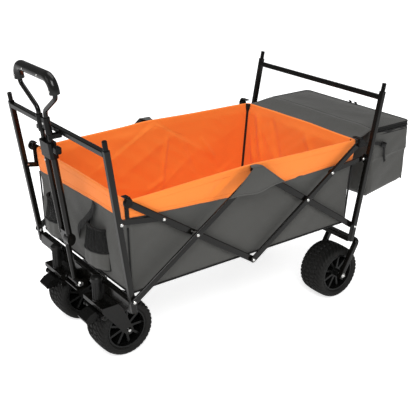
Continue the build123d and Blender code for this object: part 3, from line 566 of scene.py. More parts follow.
def rivets(name, places, body):
    """Domed rivet heads in one piece: centre, axis, radius and height for each."""
    verts, faces = [], []
    for centre, axis, radius, height in places:
        axis = Vector(axis).normalized()
        side = axis.orthogonal().normalized()
        other = axis.cross(side)
        base = len(verts)
        for lift, grow in DOME_RINGS:
            middle = Vector(centre) + axis * (height * lift)
            for s in range(DOME_SIDES):
                a = math.tau * s / DOME_SIDES
                verts.append(middle + (side * math.cos(a) + other * math.sin(a)) * (radius * grow))
        verts.append(Vector(centre) + axis * height)
        for k in range(len(DOME_RINGS) - 1):
            i = base + k * DOME_SIDES
            j = i + DOME_SIDES
            for s in range(DOME_SIDES):
                t = (s + 1) % DOME_SIDES
                faces.append((i + s, i + t, j + t, j + s))
        last = base + (len(DOME_RINGS) - 1) * DOME_SIDES
        faces += [(last + s, last + (s + 1) % DOME_SIDES, last + DOME_SIDES) for s in range(DOME_SIDES)]
    return new_piece(name, verts, faces, body, [ZINC])


# ---------------------------------------------------------------- rounded outlines
LEFT, REAR, RIGHT, FRONT = range(4)
NORMALS = ((0, 1), (-1, 0), (0, -1), (1, 0))
TURN_STEPS = 6


def outline_columns(walls, counts):
    """Columns round a rounded rectangle: wall with the share along it, or with the share of the turn after it."""
    columns = []
    for wall, count in zip(walls, counts):
        columns += [(wall, share, None) for share in spread(0, 1, count)]
        columns += [(wall, None, i / TURN_STEPS) for i in range(1, TURN_STEPS)]
    return columns


def outline_point(column, x0, x1, yh, r):
    """Place and outward normal of a column on a rounded rectangle from x0 to x1 and -yh to yh."""
    wall, share, turn = column
    centres = ((x1 - r, yh - r), (x0 + r, yh - r), (x0 + r, r - yh), (x1 - r, r - yh))
    ax, ay = centres[wall]
    bx, by = centres[(wall + 1) % 4]
    if turn is None:
        nx, ny = NORMALS[wall]
        return ax + (bx - ax) * share + r * nx, ay + (by - ay) * share + r * ny, nx, ny
    a = math.radians(90.0 * (wall + 1 + turn))
    return bx + r * math.cos(a), by + r * math.sin(a), math.cos(a), math.sin(a)


# ---------------------------------------------------------------- basket
shell_lo, shell_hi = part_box("basket_shell")
hub_lo, hub_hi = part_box("mid_hubs")
MID = (hub_lo.x + hub_hi.x) / 2
SIDE = shell_hi.y
FLOOR = shell_lo.z
RIM = shell_hi.z
RIM_REAR = shell_lo.x
RIM_FRONT = shell_hi.x
FLOOR_REAR = RIM_REAR + 0.026
FLOOR_FRONT = RIM_FRONT - 0.006
CORNER = 0.013
BAND_FRONT = 0.4665        # heights of the orange band's lower edge
BAND_REAR = 0.47
BAND_MIDDLE = 0.458
INSIDE = -0.0062           # inner wall of the lining, from the outer cloth
ROLL_LOW = 0.004           # the rolled rim starts this far below its top
OUTSIDE_ROWS = 46
BAND_ROWS = 16
ROLL_STEPS = 7
WALL_ROWS = 44
OUTSIDE_RINGS = ((0.0022, 0.005), (0.006, 0.0012), (0.02, 0.0), (0.09, -0.003), (0.17, -0.004))  # inset, lift
LINING_RINGS = (0.013, 0.030, 0.075, 0.15, 0.21)                                                 # inset
COLUMNS = outline_columns((LEFT, REAR, RIGHT, FRONT), (150, 84, 150, 84))
# soft folds of the lining for each wall: from (along, height) to (along, height), width, depth
INNER_FOLDS = {
    LEFT: ((0.06, 0.5, 0.15, 0.35, 0.01, 0.005), (-0.06, 0.52, -0.15, 0.45, 0.008, -0.004),
           (0.24, 0.48, 0.12, 0.3, 0.014, 0.0045), (-0.24, 0.52, -0.33, 0.33, 0.012, 0.005)),
    RIGHT: ((0.03, 0.47, 0.055, 0.3, 0.008, 0.006), (0.045, 0.33, 0.13, 0.29, 0.009, 0.005),
            (-0.12, 0.44, -0.19, 0.33, 0.008, 0.005), (-0.31, 0.5, -0.36, 0.38, 0.009, 0.0055),
            (-0.06, 0.42, -0.11, 0.3, 0.012, -0.0045), (0.26, 0.5, 0.2, 0.33, 0.014, 0.004)),
    REAR: ((-0.2, 0.5, -0.15, 0.33, 0.01, 0.0065), (-0.12, 0.5, -0.04, 0.32, 0.011, -0.005),
           (0.06, 0.49, 0.13, 0.36, 0.012, 0.0045), (-0.225, 0.42, -0.185, 0.29, 0.008, 0.0055)),
    FRONT: ((0.12, 0.5, 0.06, 0.34, 0.012, 0.0045), (-0.12, 0.49, -0.06, 0.35, 0.012, 0.0045))}
# slanting folds of the band beside each flap: start and end from the middle, depth
BAND_FOLDS = ((0.04, 0.13, 0.0024), (0.08, 0.155, -0.0016), (-0.05, -0.12, 0.0018))


def basket_point(column, z, off):
    """Point and outward normal on the basket's outline at a height, grown by an offset."""
    share = (z - FLOOR) / (RIM - FLOOR)
    x0 = FLOOR_REAR + (RIM_REAR - FLOOR_REAR) * share - off
    x1 = FLOOR_FRONT + (RIM_FRONT - FLOOR_FRONT) * share + off
    x, y, nx, ny = outline_point(column, x0, x1, SIDE + off, max(CORNER + off, 0.002))
    return Vector((x, y, z)), Vector((nx, ny, 0))


def near_rim(column, off):
    return basket_point(column, RIM - 0.05, off)[0]


def round_trip():
    """Each column with its place near the rim and the distance run so far."""
    run = 0.0
    last = None
    for column in COLUMNS:
        place = near_rim(column, 0.0)
        if last is not None:
            run += (place - last).length
        last = place
        yield column, place, run


def along_wall(p, wall):
    """The coordinate that runs along a wall."""
    return p.x if wall in (LEFT, RIGHT) else p.y


def rim_height(p):
    """Height of the rim: highest over the middle pivots, lower at the corners."""
    along = p.x - MID
    z = RIM + 0.004 * bell(along, 0.0, 0.09)
    if along > 0:
        z -= 0.01 * (along / (RIM_FRONT - MID)) ** 2.2
    else:
        z -= 0.005 * (-along / (MID - RIM_REAR)) ** 2.2
    if abs(p.x - RIM_FRONT) < 0.03 or abs(p.x - RIM_REAR) < 0.03:
        z += 0.004 * math.cos(p.y / SIDE * math.pi / 2)
    return z + 0.0012 * ripple(p.x * 9, p.y * 9, 0.0, 3)


def band_height(p):
    """Lower edge of the folded-over band."""
    between = abs(p.y) < SIDE - 0.004
    if p.x > RIM_FRONT - 0.02 and between:
        return BAND_FRONT + 0.008 * (p.y / SIDE) + 0.003 * math.cos(p.y / SIDE * 2.4)
    if p.x < RIM_REAR + 0.03 and between:
        return BAND_REAR
    if p.x > MID:
        return BAND_MIDDLE + 0.024 * ((p.x - MID) / (RIM_FRONT - MID)) ** 1.3
    return BAND_MIDDLE + 0.014 * ((MID - p.x) / (MID - RIM_REAR)) ** 1.2


def front_sag(p):
    """How far the bottom edge hangs below the flat floor at the front wall."""
    return 0.0055 * bell(p.x, RIM_FRONT, 0.05) * (1 - 0.6 * (p.y / SIDE) ** 6)


def outer_swell(p, n, wall):
    """How far the outer cloth stands off its flat wall."""
    a = p.x if abs(n.y) > 0.7 else p.y
    edge = step_smooth(p.z, FLOOR, FLOOR + 0.05) * (1 - step_smooth(p.z, RIM - 0.08, RIM - 0.01))
    soft = 0.003 * ripple(a * 5, p.z * 6, 0, wall) + 0.0016 * ripple(a * 16 + p.z * 22, p.z * 9, 0, wall + 5)
    fold = 0.001 * ripple(a * 30 - p.z * 26, p.z * 12, 0, wall + 9)
    sag = -0.0045 * math.sin(math.pi * step_smooth(p.z, FLOOR, RIM))
    if wall == FRONT:
        sag = 0.01 * bell(p.z, 0.315, 0.07) * (1 - (p.y / SIDE) ** 4) - 0.002
        soft *= 1.4
    if wall == REAR:
        sag = 0.004 * bell(p.z, 0.36, 0.09) - 0.002
    value = edge * (soft + fold + sag)
    return min(value, 0.001) if wall in (LEFT, RIGHT) else value


def basket_outside():
    """Grey cloth outside, with its floor, as one closed skin."""
    verts, uvs = [], []
    for column, place, run in round_trip():
        top = band_height(place) + 0.009
        for z in spread(FLOOR + 0.012 - front_sag(place), top, OUTSIDE_ROWS):
            p, n = basket_point(column, z, 0.0)
            tuck = step_smooth(z, top - 0.035, top - 0.01)
            verts.append(p + n * (outer_swell(p, n, column[0]) * (1 - tuck) - 0.0012 * tuck))
            uvs.append((run, z))
    faces = grid_faces(len(COLUMNS), OUTSIDE_ROWS, closed=True)
    starts = []
    for inset, lift in OUTSIDE_RINGS:
        starts.append(len(verts))
        for column in COLUMNS:
            p = basket_point(column, FLOOR, -inset)[0]
            sag = 0.002 * ripple(p.x * 7, p.y * 7, 0, 21) if inset > 0.01 else 0.0
            verts.append(Vector((p.x, p.y, FLOOR + 0.001 + lift + sag - front_sag(p))))
            uvs.append((p.x, p.y))
    close_bottom(faces, len(COLUMNS), OUTSIDE_ROWS, 0, starts)
    piece = cloth("basket_outside", verts, faces, uvs, 0.0016, -1.0, recalculate=False)
    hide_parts("basket_shell")


def crease_lines(a, z, seed):
    """Soft ridges that run where a stretched noise passes zero, in two leaning families."""
    one = ripple(a * 5.0 + z * 7, z * 2.0 - a * 1.2, 0, seed)
    two = ripple(a * 4.0 - z * 6, z * 2.0 + a * 1.0, 0, seed + 7)
    many = 0.5 + ripple(a * 3.0, z * 4.0, 0, seed + 3)
    first = max(0.0, many) * max(0.0, 1 - abs(one) * 4.0) ** 2
    return first + 0.6 * max(0.0, 1 - many) * max(0.0, 1 - abs(two) * 4.5) ** 2


def fold_relief(a, z, wall):
    """Sum of the soft folds of a wall, each a ridge along a short line."""
    total = 0.0
    for a0, z0, a1, z1, wide, high in INNER_FOLDS[wall]:
        run = Vector((a1 - a0, z1 - z0))
        at = Vector((a - a0, z - z0))
        share = max(0.0, min(1.0, at.dot(run) / run.length_squared))
        fade = 0.35 + 0.65 * math.sin(math.pi * min(1.0, share + 0.15))
        total += high * bell((at - run * share).length, 0.0, wide) * fade
    return total


def inner_swell(p, wall, fade):
    """How far the lining stands into the basket: soft creases, and the sewn triangle on the sides."""
    a = along_wall(p, wall)
    edge = step_smooth(p.z, FLOOR + 0.01, FLOOR + 0.06) * (1 - step_smooth(p.z, RIM - 0.045, RIM - 0.005))
    broad = 0.0085 * ripple(a * 4.5, p.z * 5, 0, wall + 31)
    fine = 0.002 * ripple(a * 24 - p.z * 30, p.z * 14, 0, wall + 51)
    creases = 0.005 * crease_lines(a, p.z, wall + 41)
    value = 0.004 + edge * fade * (broad + fine + fold_relief(a, p.z, wall) + creases)
    if wall in (LEFT, RIGHT):
        drop = RIM + 0.002 - p.z
        reach = drop * (1.85 if a > MID else 1.45)
        within = reach - abs(a - MID + 0.01)
        seam = bell(within, 0.0, 0.0036) * (1 - step_smooth(drop, 0.055, 0.095))
        inside = step_smooth(within, 0.0, 0.005) * (1 - step_smooth(drop, 0.05, 0.18))
        value += 0.0058 * inside - 0.0026 * seam
    return max(value, 0.0)


def corner_fade(column):
    """0 at the basket's corners and 1 away from them."""
    if column[1] is None:
        return 0.0
    return step_smooth(min(column[1], 1 - column[1]), 0.0, 0.12)


def band_fold(p):
    """Slanting folds where the band is drawn up beside each flap."""
    down = (RIM - p.z) / 0.064
    total = 0.0
    for near, far, high in BAND_FOLDS:
        total += high * bell((p.x - MID - near - (far - near) * down) * 0.6, 0.0, 0.0065)
    return total * math.sin(math.pi * max(0.0, min(1.0, down)))


def lining_line(column, place):
    """One column of the lining: band outside from its lower edge, over the rolled rim, down to the floor."""
    wall = column[0]
    high = rim_height(place) - ROLL_LOW
    line = []
    for r, z in enumerate(spread(band_height(place), high, BAND_ROWS)):
        p, n = basket_point(column, z, 0.0016)
        a = along_wall(p, wall)
        near = 1 - 0.6 * step_smooth(abs(a - (MID if wall in (LEFT, RIGHT) else 0.0)), 0.1, 0.28)
        dent = 0.0034 * near * crease_lines(a * 1.3, p.z * 0.7, wall + 61) * math.sin(math.pi * r / (BAND_ROWS - 1))
        lift = min(outer_swell(p, n, wall), 0.0004) - dent * corner_fade(column)
        if wall in (LEFT, RIGHT):
            lift += band_fold(p)
        line.append(p + n * lift)
    outside = line[-1]
    inside = basket_point(column, high, INSIDE)[0]
    middle = (outside + inside) / 2
    half = (outside - inside) / 2
    for r in range(1, ROLL_STEPS):
        a = math.pi * r / ROLL_STEPS
        x = middle.x + half.x * math.cos(a)
        y = middle.y + half.y * math.cos(a)
        line.append(Vector((x, y, high + 0.0045 * math.sin(a))))
    for r, z in enumerate(spread(high, FLOOR + 0.01, WALL_ROWS)):
        p, n = basket_point(column, z, INSIDE)
        line.append(p - n * (inner_swell(p, wall, corner_fade(column)) * min(1.0, r / 4)))
    return line


def basket_lining():
    """Orange lining: band outside, rolled rim, inner walls and floor in one sheet."""
    verts, uvs = [], []
    for column, place, run in round_trip():
        depth = 0.0
        line = lining_line(column, place)
        for i, p in enumerate(line):
            if i:
                depth += (p - line[i - 1]).length
            verts.append(p)
            uvs.append((run, depth))
    rows = BAND_ROWS + ROLL_STEPS - 1 + WALL_ROWS
    faces = grid_faces(len(COLUMNS), rows, closed=True)
    starts = []
    for inset in LINING_RINGS:
        starts.append(len(verts))
        for column in COLUMNS:
            p = basket_point(column, FLOOR + 0.02, -inset)[0]
            lift = 0.0022 * ripple(p.x * 6, p.y * 6, 0, 71) + 0.0015 if inset > 0.02 else 0.0
            verts.append(Vector((p.x, p.y, FLOOR + 0.0072 + lift)))
            uvs.append((p.x, p.y))
    close_bottom(faces, len(COLUMNS), rows, rows - 1, starts)
    piece = cloth("basket_lining", verts, faces, uvs, 0.0012, materials=[ORANGE])
    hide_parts("basket_liner")


# ---------------------------------------------------------------- trim of the basket
PIPING_TOP = 0.452
TRIANGLE_LOW = 0.474       # height where the seams of the sewn triangle end
TRIANGLE_REACH = (0.108, -0.111)
CORNERS = (("front_left", FRONT), ("rear_left", LEFT), ("rear_right", REAR), ("front_right", RIGHT))


def edge_path(off, height, step=3):
    """Closed line round the basket at a height rule."""
    out = []
    for column in COLUMNS[::step]:
        p, n = basket_point(column, height(near_rim(column, off)), off)
        out.append(p + n * outer_swell(p, n, column[0]))
    return out


def basket_normal(p):
    """Outward direction of the wall a point lies on."""
    if p.x > RIM_FRONT - 0.03 and abs(p.y) < SIDE - 0.01:
        return Vector((1, 0, 0))
    if p.x < RIM_REAR + 0.04 and abs(p.y) < SIDE - 0.01:
        return Vector((-1, 0, 0))
    return Vector((0, 1 if p.y > 0 else -1, 0))


def corner_trim(word, wall):
    """Piping outside and a wavy binding inside one corner."""
    path = [basket_point((wall, None, 0.5), z, 0.0006)[0] for z in spread(FLOOR + 0.01, PIPING_TOP, 22)]
    piping(f"basket_piping_{word}", path, 0.0028)
    inner = []
    for z in spread(FLOOR + 0.014, RIM - 0.003, 40):
        p, n = basket_point((wall, None, 0.5), z, -0.0126)
        along = Vector((n.y, -n.x, 0))
        inner.append(p + along * (0.0028 * ripple(z * 34, wall == LEFT, 0, 181)))
    ribbon(f"basket_binding_{word}", inner, along, 0.0165, BINDING, 0.0016)


def triangle_seam(side, reach):
    """One slanting seam of the triangle sewn into the lining's side."""
    top = RIM - 0.012
    out = []
    for z in spread(top, TRIANGLE_LOW, 40):
        p = Vector((MID - 0.01 + reach * (top - z) / (top - TRIANGLE_LOW), SIDE + INSIDE, z))
        p.y -= inner_swell(p, LEFT if side > 0 else RIGHT, 1.0) + 0.0012
        out.append(Vector((p.x, side * p.y, p.z)))
    return out


def basket_trim():
    """Piping, corner bindings and stitching of the basket."""
    bottom = edge_path(0.0006, lambda p: FLOOR + 0.008 - front_sag(p))
    piping("basket_bottom_piping", bottom, 0.0026, closed=True)
    for word, wall in CORNERS:
        corner_trim(word, wall)
    rows = [edge_path(0.0024, lambda p, lift=lift: band_height(p) + lift, 2) for lift in (0.004, 0.0105)]
    stitches("band_stitching", rows, [basket_normal] * 2, ORANGE_THREAD)
    for word, side in SIDES:
        seams = [triangle_seam(side, reach) for reach in TRIANGLE_REACH]
        stitches(f"rim_stitching_inside_{word}", seams, [Vector((0, -side, 0))] * 2, ORANGE_THREAD)
    rim_row = edge_path(0.0022, lambda p: rim_height(p) - 0.016, 2)
    stitches("rim_stitching", [rim_row], [basket_normal], ORANGE_THREAD)


# ---------------------------------------------------------------- flaps over the middle pivots
FLAP_TOP = (Vector((MID - 0.018, 0, 0.543)), Vector((MID + 0.02, 0, 0.544)))
FLAP_LOW = (Vector((MID - 0.096, 0, 0.4815)), Vector((MID + 0.105, 0, 0.474)))
FLAP_COLUMNS = 40
FLAP_ROWS = 26
FLAP_OVER_ROWS = 8


def flap_point(side, u, v, face):
    """Point of a flap: u across, v down from the rim."""
    low = FLAP_LOW[0].lerp(FLAP_LOW[1], u)
    low.z -= 0.0105 * bell(u, 0.5, 0.22)
    p = FLAP_TOP[0].lerp(FLAP_TOP[1], u).lerp(low, v)
    hollow = 0.0035 * math.sin(math.pi * v) * math.sin(math.pi * u)
    wave = 0.0016 * ripple(u * 3.2, v * 2.4, 0, 91 + side) * v
    y = face - 0.003 * (1 - v) ** 3 + hollow + wave - 0.0008
    return Vector((p.x, side * y, p.z))


def flap_over(side, u, t, face):
    """Point of the part that is hooked over the rim, from inside (t = 0) to the flap's top (t = 1)."""
    first = flap_point(side, u, 0.0, face)
    inside = SIDE - 0.005
    x = first.x + (MID - 0.002 - first.x) * 0.8 * (1 - t) ** 1.5
    y = side * (inside + (abs(first.y) - inside) * t)
    return Vector((x, y, RIM + 0.0055 - 0.006 * (1 - t) ** 3 + 0.001 * math.sin(math.pi * t)))


def flaps():
    """Kite-shaped cloth flap over each middle pivot, hooked over the rim."""
    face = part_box("mid_flaps")[1].y
    for word, side in SIDES:
        def place(c, r):
            u = c / (FLAP_COLUMNS - 1)
            if r < FLAP_OVER_ROWS:
                t = r / FLAP_OVER_ROWS
                return flap_over(side, u, t, face), (u * 0.05, -0.04 * (1 - t))
            p = flap_point(side, u, (r - FLAP_OVER_ROWS) / (FLAP_ROWS - 1), face)
            return p, (p.x, p.z)

        rows = FLAP_OVER_ROWS + FLAP_ROWS
        verts, uvs = lay_grid(FLAP_COLUMNS, rows, place)
        piece = cloth(f"flap_{word}", verts, grid_faces(FLAP_COLUMNS, rows), uvs, 0.0014, body="mid_blocks")
        lift = Vector((0, side * 0.001, 0))
        rows = [[flap_point(side, u, 0.93, face) + lift for u in spread(0, 1, 41)]]
        for u in (0.04, 0.96):
            rows.append([flap_point(side, u, v, face) + lift for v in spread(0.1, 0.9, 17)])
        stitches(f"flap_stitching_{word}", rows, [Vector((0, side, 0))] * 3, GREY_THREAD, "mid_blocks")
    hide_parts("mid_flaps")


# ---------------------------------------------------------------- front pockets
POCKET_COLUMNS = 44
POCKET_ROWS = 34


def pocket_seam(u):
    """How far up the cloth reaches below the net."""
    return 0.4 + 0.05 * (u + 1)


def pockets():
    """Gathered pockets: grey cloth below, net above, a bound top edge."""
    for word, side in SIDES:
        low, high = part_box(f"front_pocket_{word}")
        centre = (low.y + high.y) / 2
        back = low.x - 0.0015
        deep = high.x - back
        wide = (high.y - low.y) / 2

        def point(u, v, out=0.0):
            taper = step_smooth(v, 0.42, 1.0) * (0.018 if u > 0 else 0.026)
            z = low.z + (high.z - low.z) * v - 0.004 * math.cos(u * math.pi / 2) * (1 - v)
            z += 0.01 * (u + 1) * (1 - v) ** 2
            curve = (1 - abs(u) ** 3.0) ** 0.7
            fat = deep * (0.94 - 0.22 * v) * min(1.0, (v + 0.03) / 0.16) ** 0.5
            pleat = 0.0018 * math.cos(u * 22.0) * step_smooth(v, 0.5, 1.0)
            soft = 0.0026 * ripple(u * 2.5 + side, v * 3, 0, 101)
            x = back + curve * (fat + pleat + soft) + out
            return Vector((min(x, high.x + 0.004), centre + u * (wide - taper), z))

        def place(c, r):
            p = point(-1 + 2 * c / (POCKET_COLUMNS - 1), r / (POCKET_ROWS - 1))
            return p, (p.y, p.z)

        verts, uvs = lay_grid(POCKET_COLUMNS, POCKET_ROWS, place)
        faces = grid_faces(POCKET_COLUMNS, POCKET_ROWS)
        slots = []
        for c in range(POCKET_COLUMNS - 1):
            seam = pocket_seam(-1 + 2 * (c + 0.5) / POCKET_COLUMNS)
            slots += [0 if (r + 0.5) / POCKET_ROWS < seam else 1 for r in range(POCKET_ROWS - 1)]
        piece = cloth(f"pocket_{word}", verts, faces, uvs, 0.001, materials=[GREY, NET], face_slots=slots,
                      recalculate=False)
        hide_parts(f"front_pocket_{word}")
        for tag, rule, radius in (("top", lambda u: 1.0, 0.0034), ("seam", pocket_seam, 0.0024),
                                  ("foot", lambda u: 0.0, 0.002)):
            path = [point(u, rule(u), 0.0006) for u in spread(-1, 1, 41)]
            piping(f"pocket_{tag}_binding_{word}", path, radius)
        for tag, u in (("inner", -1.0), ("outer", 1.0)):
            path = [point(u, v, 0.0008) for v in spread(0, 1, 21)]
            piping(f"pocket_{tag}_edge_{word}", path, 0.0018)


def front_strap():
    """Webbing loop on the front wall, sewn at both ends."""
    run = ((0.001, 0.094, 0.468), (0.006, 0.088, 0.44), (0.013, 0.062, 0.408),
           (0.016, 0.032, 0.38), (0.009, 0.004, 0.352), (0.004, -0.004, 0.33))
    path = smooth_path([(RIM_FRONT + out, y, z) for out, y, z in run], 40)
    ribbon("front_webbing", path, Vector((0.25, 0.8, -0.55)), 0.024, WEBBING)


# ---------------------------------------------------------------- rear bag
bag_lo, bag_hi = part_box("storage_bag_body")
lid_lo, lid_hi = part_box("storage_bag_lid")
BAG_DROP = 0.028           # the bottom is this much higher at the back
BAG_CORNER = 0.016
BAG_ROWS = 40
BAG_RINGS = (0.03, 0.07)
PANEL_EDGE = 0.437         # lower edge of the upper side panel at the front
LID_COLUMNS = 60
LID_ROWS = 26
LID_CORNER = 0.018
ZIP_CORNER = 0.014
APRON_COLUMNS = 70
APRON_ROWS = 14
# straps at each side of the bag: name, points (x, y, z), point count, width direction, width, finish, thickness
BAG_STRAPS = (
    ("bag_strap", ((RIM_REAR - 0.01, 0.262, 0.506), (-0.4, 0.263, 0.508), (-0.44, 0.259, 0.501),
                   (-0.478, 0.2575, 0.488)), 24, (0.3, 0, 1), 0.011, WEBBING, 0.0014),
    ("bag_strap_tail", ((-0.476, 0.259, 0.494), (-0.48, 0.2606, 0.472), (-0.484, 0.259, 0.45),
                        (-0.489, 0.26, 0.428)), 20, (1, 0, 0.2), 0.01, WEBBING, 0.0014),
    ("bag_buckle", ((-0.467, 0.259, 0.493), (-0.478, 0.2596, 0.489), (-0.488, 0.259, 0.485)),
     10, (0.3, 0, 1), 0.017, PLASTIC, 0.005))


def bag_back(x):
    """0 at the front of the bag and 1 at its back."""
    return (bag_hi.x - x) / (bag_hi.x - bag_lo.x)


def panel_edge(x):
    """Height of the lower edge of the upper side panel, a little higher at the back."""
    return PANEL_EDGE + 0.014 * bag_back(x)


def bag_swell(x, z, v, nx, ny, along):
    """How far the bag's cloth stands off its flat wall, at a share v of the height."""
    belly = 0.006 * math.sin(math.pi * v) ** 0.8
    slack = 0.0065 * ripple(along * 7, z * 8, 0, 121 + abs(nx)) + 0.003 * ripple(along * 17 + z * 20, z * 11, 0, 131)
    pinch = step_smooth(v, 0.0, 0.1) * (1 - step_smooth(v, 0.9, 1.0))
    swell = (belly + slack) * pinch
    if abs(ny) > 0.7:
        swell += 0.005 * step_smooth(z, panel_edge(x) - 0.001, panel_edge(x) + 0.001) - 0.0022
    return min(swell, 0.009) - 0.01 * (1 - step_smooth(v, 0.0, 0.06))


def bag_body():
    """Sewn bag that sags a little between its seams."""
    columns = outline_columns((REAR, RIGHT, FRONT, LEFT), (90, 34, 90, 34))
    outline = [outline_point(column, bag_lo.x, bag_hi.x, bag_hi.y, BAG_CORNER) for column in columns]
    verts, uvs = [], []
    run = 0.0
    for i, (x, y, nx, ny) in enumerate(outline):
        if i:
            run += math.hypot(x - outline[i - 1][0], y - outline[i - 1][1])
        foot = bag_lo.z + BAG_DROP * bag_back(x) + 0.004 * ripple(x * 9, y * 9, 0, 111)
        for v in spread(0, 1, BAG_ROWS):
            z = foot + (bag_hi.z - 0.001 - foot) * v
            grow = bag_swell(x, z, v, nx, ny, y if abs(nx) > 0.7 else x)
            verts.append(Vector((x + nx * grow, y + ny * grow, z)))
            uvs.append((run, z))
    faces = grid_faces(len(outline), BAG_ROWS, closed=True)
    starts = []
    centre = (bag_lo.x + bag_hi.x) / 2
    for inset in BAG_RINGS:
        starts.append(len(verts))
        for x, y, nx, ny in outline:
            px = x + (centre - x) * min(1.0, inset / 0.0875)
            py = y - math.copysign(min(abs(y), inset), y)
            sag = 0.003 * ripple(px * 8, py * 8, 0, 141)
            verts.append(Vector((px, py, bag_lo.z - 0.003 + BAG_DROP * bag_back(px) + sag)))
            uvs.append((px, py))
    close_bottom(faces, len(outline), BAG_ROWS, 0, starts)
    bag = cloth("rear_bag", verts, faces, uvs, 0.0016, -1.0)
    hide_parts("storage_bag_body")


def bag_trim():
    """Corner piping, side seams and straps of the bag."""
    for word, side in SIDES:
        x, y = bag_lo.x + 0.0045, side * (bag_hi.y - 0.0045)
        corner = [Vector((x, y, z)) for z in spread(bag_lo.z + BAG_DROP + 0.004, bag_hi.z - 0.02, 24)]
        piping(f"bag_corner_piping_{word}", corner, 0.002)
        seam = []
        for x in spread(bag_lo.x + 0.012, bag_hi.x - 0.012, 31):
            seam.append(Vector((x, side * (bag_hi.y + 0.01), panel_edge(x) + 0.007)))
        stitches(f"bag_seam_{word}", [seam], [Vector((0, side, 0))], GREY_THREAD)
        for name, points, count, across, width, finish, thick in BAG_STRAPS:
            path = smooth_path([(x, side * y, z) for x, y, z in points], count)
            ribbon(f"{name}_{word}", path, Vector(across), width, finish, thick)


def lid_top(x, y):
    """Height of the lid's cloth: crowned, and level with the apron along its front edge."""
    u = (x - lid_lo.x) / (lid_hi.x - lid_lo.x)
    v = (y - lid_lo.y) / (lid_hi.y - lid_lo.y)
    rimmed = min(u, v * 2.2, (1 - v) * 2.2)
    crown = 0.0045 * step_smooth(rimmed, 0.0, 0.3)
    slack = 0.003 * ripple(x * 9, y * 6, 0, 161) + 0.0016 * ripple(x * 20 + y * 9, y * 7, 0, 165)
    return lid_hi.z - 0.0015 + crown + slack * step_smooth(rimmed, 0.0, 0.12)


def lid_place(x, y):
    """Pulls the lid's back corners in to a radius."""
    r = LID_CORNER
    cx = max(x, lid_lo.x + r)
    cy = min(max(y, lid_lo.y + r), lid_hi.y - r)
    d = Vector((x - cx, y - cy))
    if d.length > r and abs(x - cx) > 1e-9 and abs(y - cy) > 1e-9:
        d = d.normalized() * r
    return cx + d.x, cy + d.y


def bag_lid():
    """Crowned lid panel, bound along its sides and back."""
    verts, uvs = [], []
    for level in ("top", "underside"):
        for row_y in spread(lid_lo.y, lid_hi.y, LID_COLUMNS):
            for row_x in spread(lid_lo.x, lid_hi.x, LID_ROWS):
                x, y = lid_place(row_x, row_y)
                verts.append(Vector((x, y, lid_top(x, y) if level == "top" else lid_lo.z + 0.001)))
                uvs.append((x, y))
    size = LID_COLUMNS * LID_ROWS
    faces = grid_faces(LID_COLUMNS, LID_ROWS)
    faces += [tuple(reversed(face)) for face in grid_faces(LID_COLUMNS, LID_ROWS, start=size)]
    back = [c * LID_ROWS for c in range(LID_COLUMNS)]
    last = [(LID_COLUMNS - 1) * LID_ROWS + k for k in range(1, LID_ROWS)]
    front = [c * LID_ROWS + LID_ROWS - 1 for c in range(LID_COLUMNS - 2, -1, -1)]
    border = back + last + front + list(range(LID_ROWS - 2, 0, -1))
    for a, b in zip(border, border[1:] + border[:1]):
        faces.append((a, b, b + size, a + size))
    lid = new_piece("bag_lid_panel", verts, faces, "bag_lid", [GREY], uvs=uvs)
    tidy_normals(lid)
    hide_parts("storage_bag_lid")
    bound = list(range(LID_ROWS - 1, 0, -1)) + back + last
    piping("bag_lid_piping", [verts[i] + Vector((0, 0, -0.001)) for i in bound], 0.003, "bag_lid")


def zip_line(off, z):
    """Line along both sides and the back of the bag at a height."""
    r = ZIP_CORNER + off
    x0 = bag_lo.x + ZIP_CORNER
    y0 = bag_hi.y - ZIP_CORNER
    path = [Vector((x, bag_hi.y + off, z)) for x in spread(bag_hi.x - 0.004, x0, 13)]
    for i in range(1, 8):
        a = math.radians(90 + 90 * i / 8)
        path.append(Vector((x0 + r * math.cos(a), y0 + r * math.sin(a), z)))
    path += [Vector((bag_lo.x - off, y0 * (1 - i / 12), z)) for i in range(12)]
    return path + [Vector((p.x, -p.y, p.z)) for p in reversed(path)]


def zip_normal(p):
    if abs(p.y) > bag_hi.y - 0.004:
        return Vector((0, 1 if p.y > 0 else -1, 0))
    return Vector((-1, 0, 0))


def bag_zip():
    """Padded zip band under the lid, with its teeth and two pullers at the back."""
    x0, top = bag_lo.x, bag_hi.z
    band = ribbon("zip_band", zip_line(0.002, top - 0.0095), UP, 0.019, BINDING, 0.003)
    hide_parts("storage_bag_zipper")
    piping("zip_band_edge", zip_line(0.0026, top - 0.0185), 0.002)
    stitches("zip_teeth", [zip_line(0.004, top - 0.008)], [zip_normal], PLASTIC,
             step=0.0024, long=0.0015, radius=0.0016)
    for word, y in (("one", -0.024), ("two", 0.002)):
        path = smooth_path([(x0 - 0.0035, y, top - 0.012), (x0 - 0.005, y, top + 0.001),
                            (x0 - 0.0015, y, top + 0.011), (x0 + 0.003, y, top + 0.0125)], 12)
        ribbon(f"zip_puller_{word}", path, Vector((0, 1, 0)), 0.009, PLASTIC, 0.004)


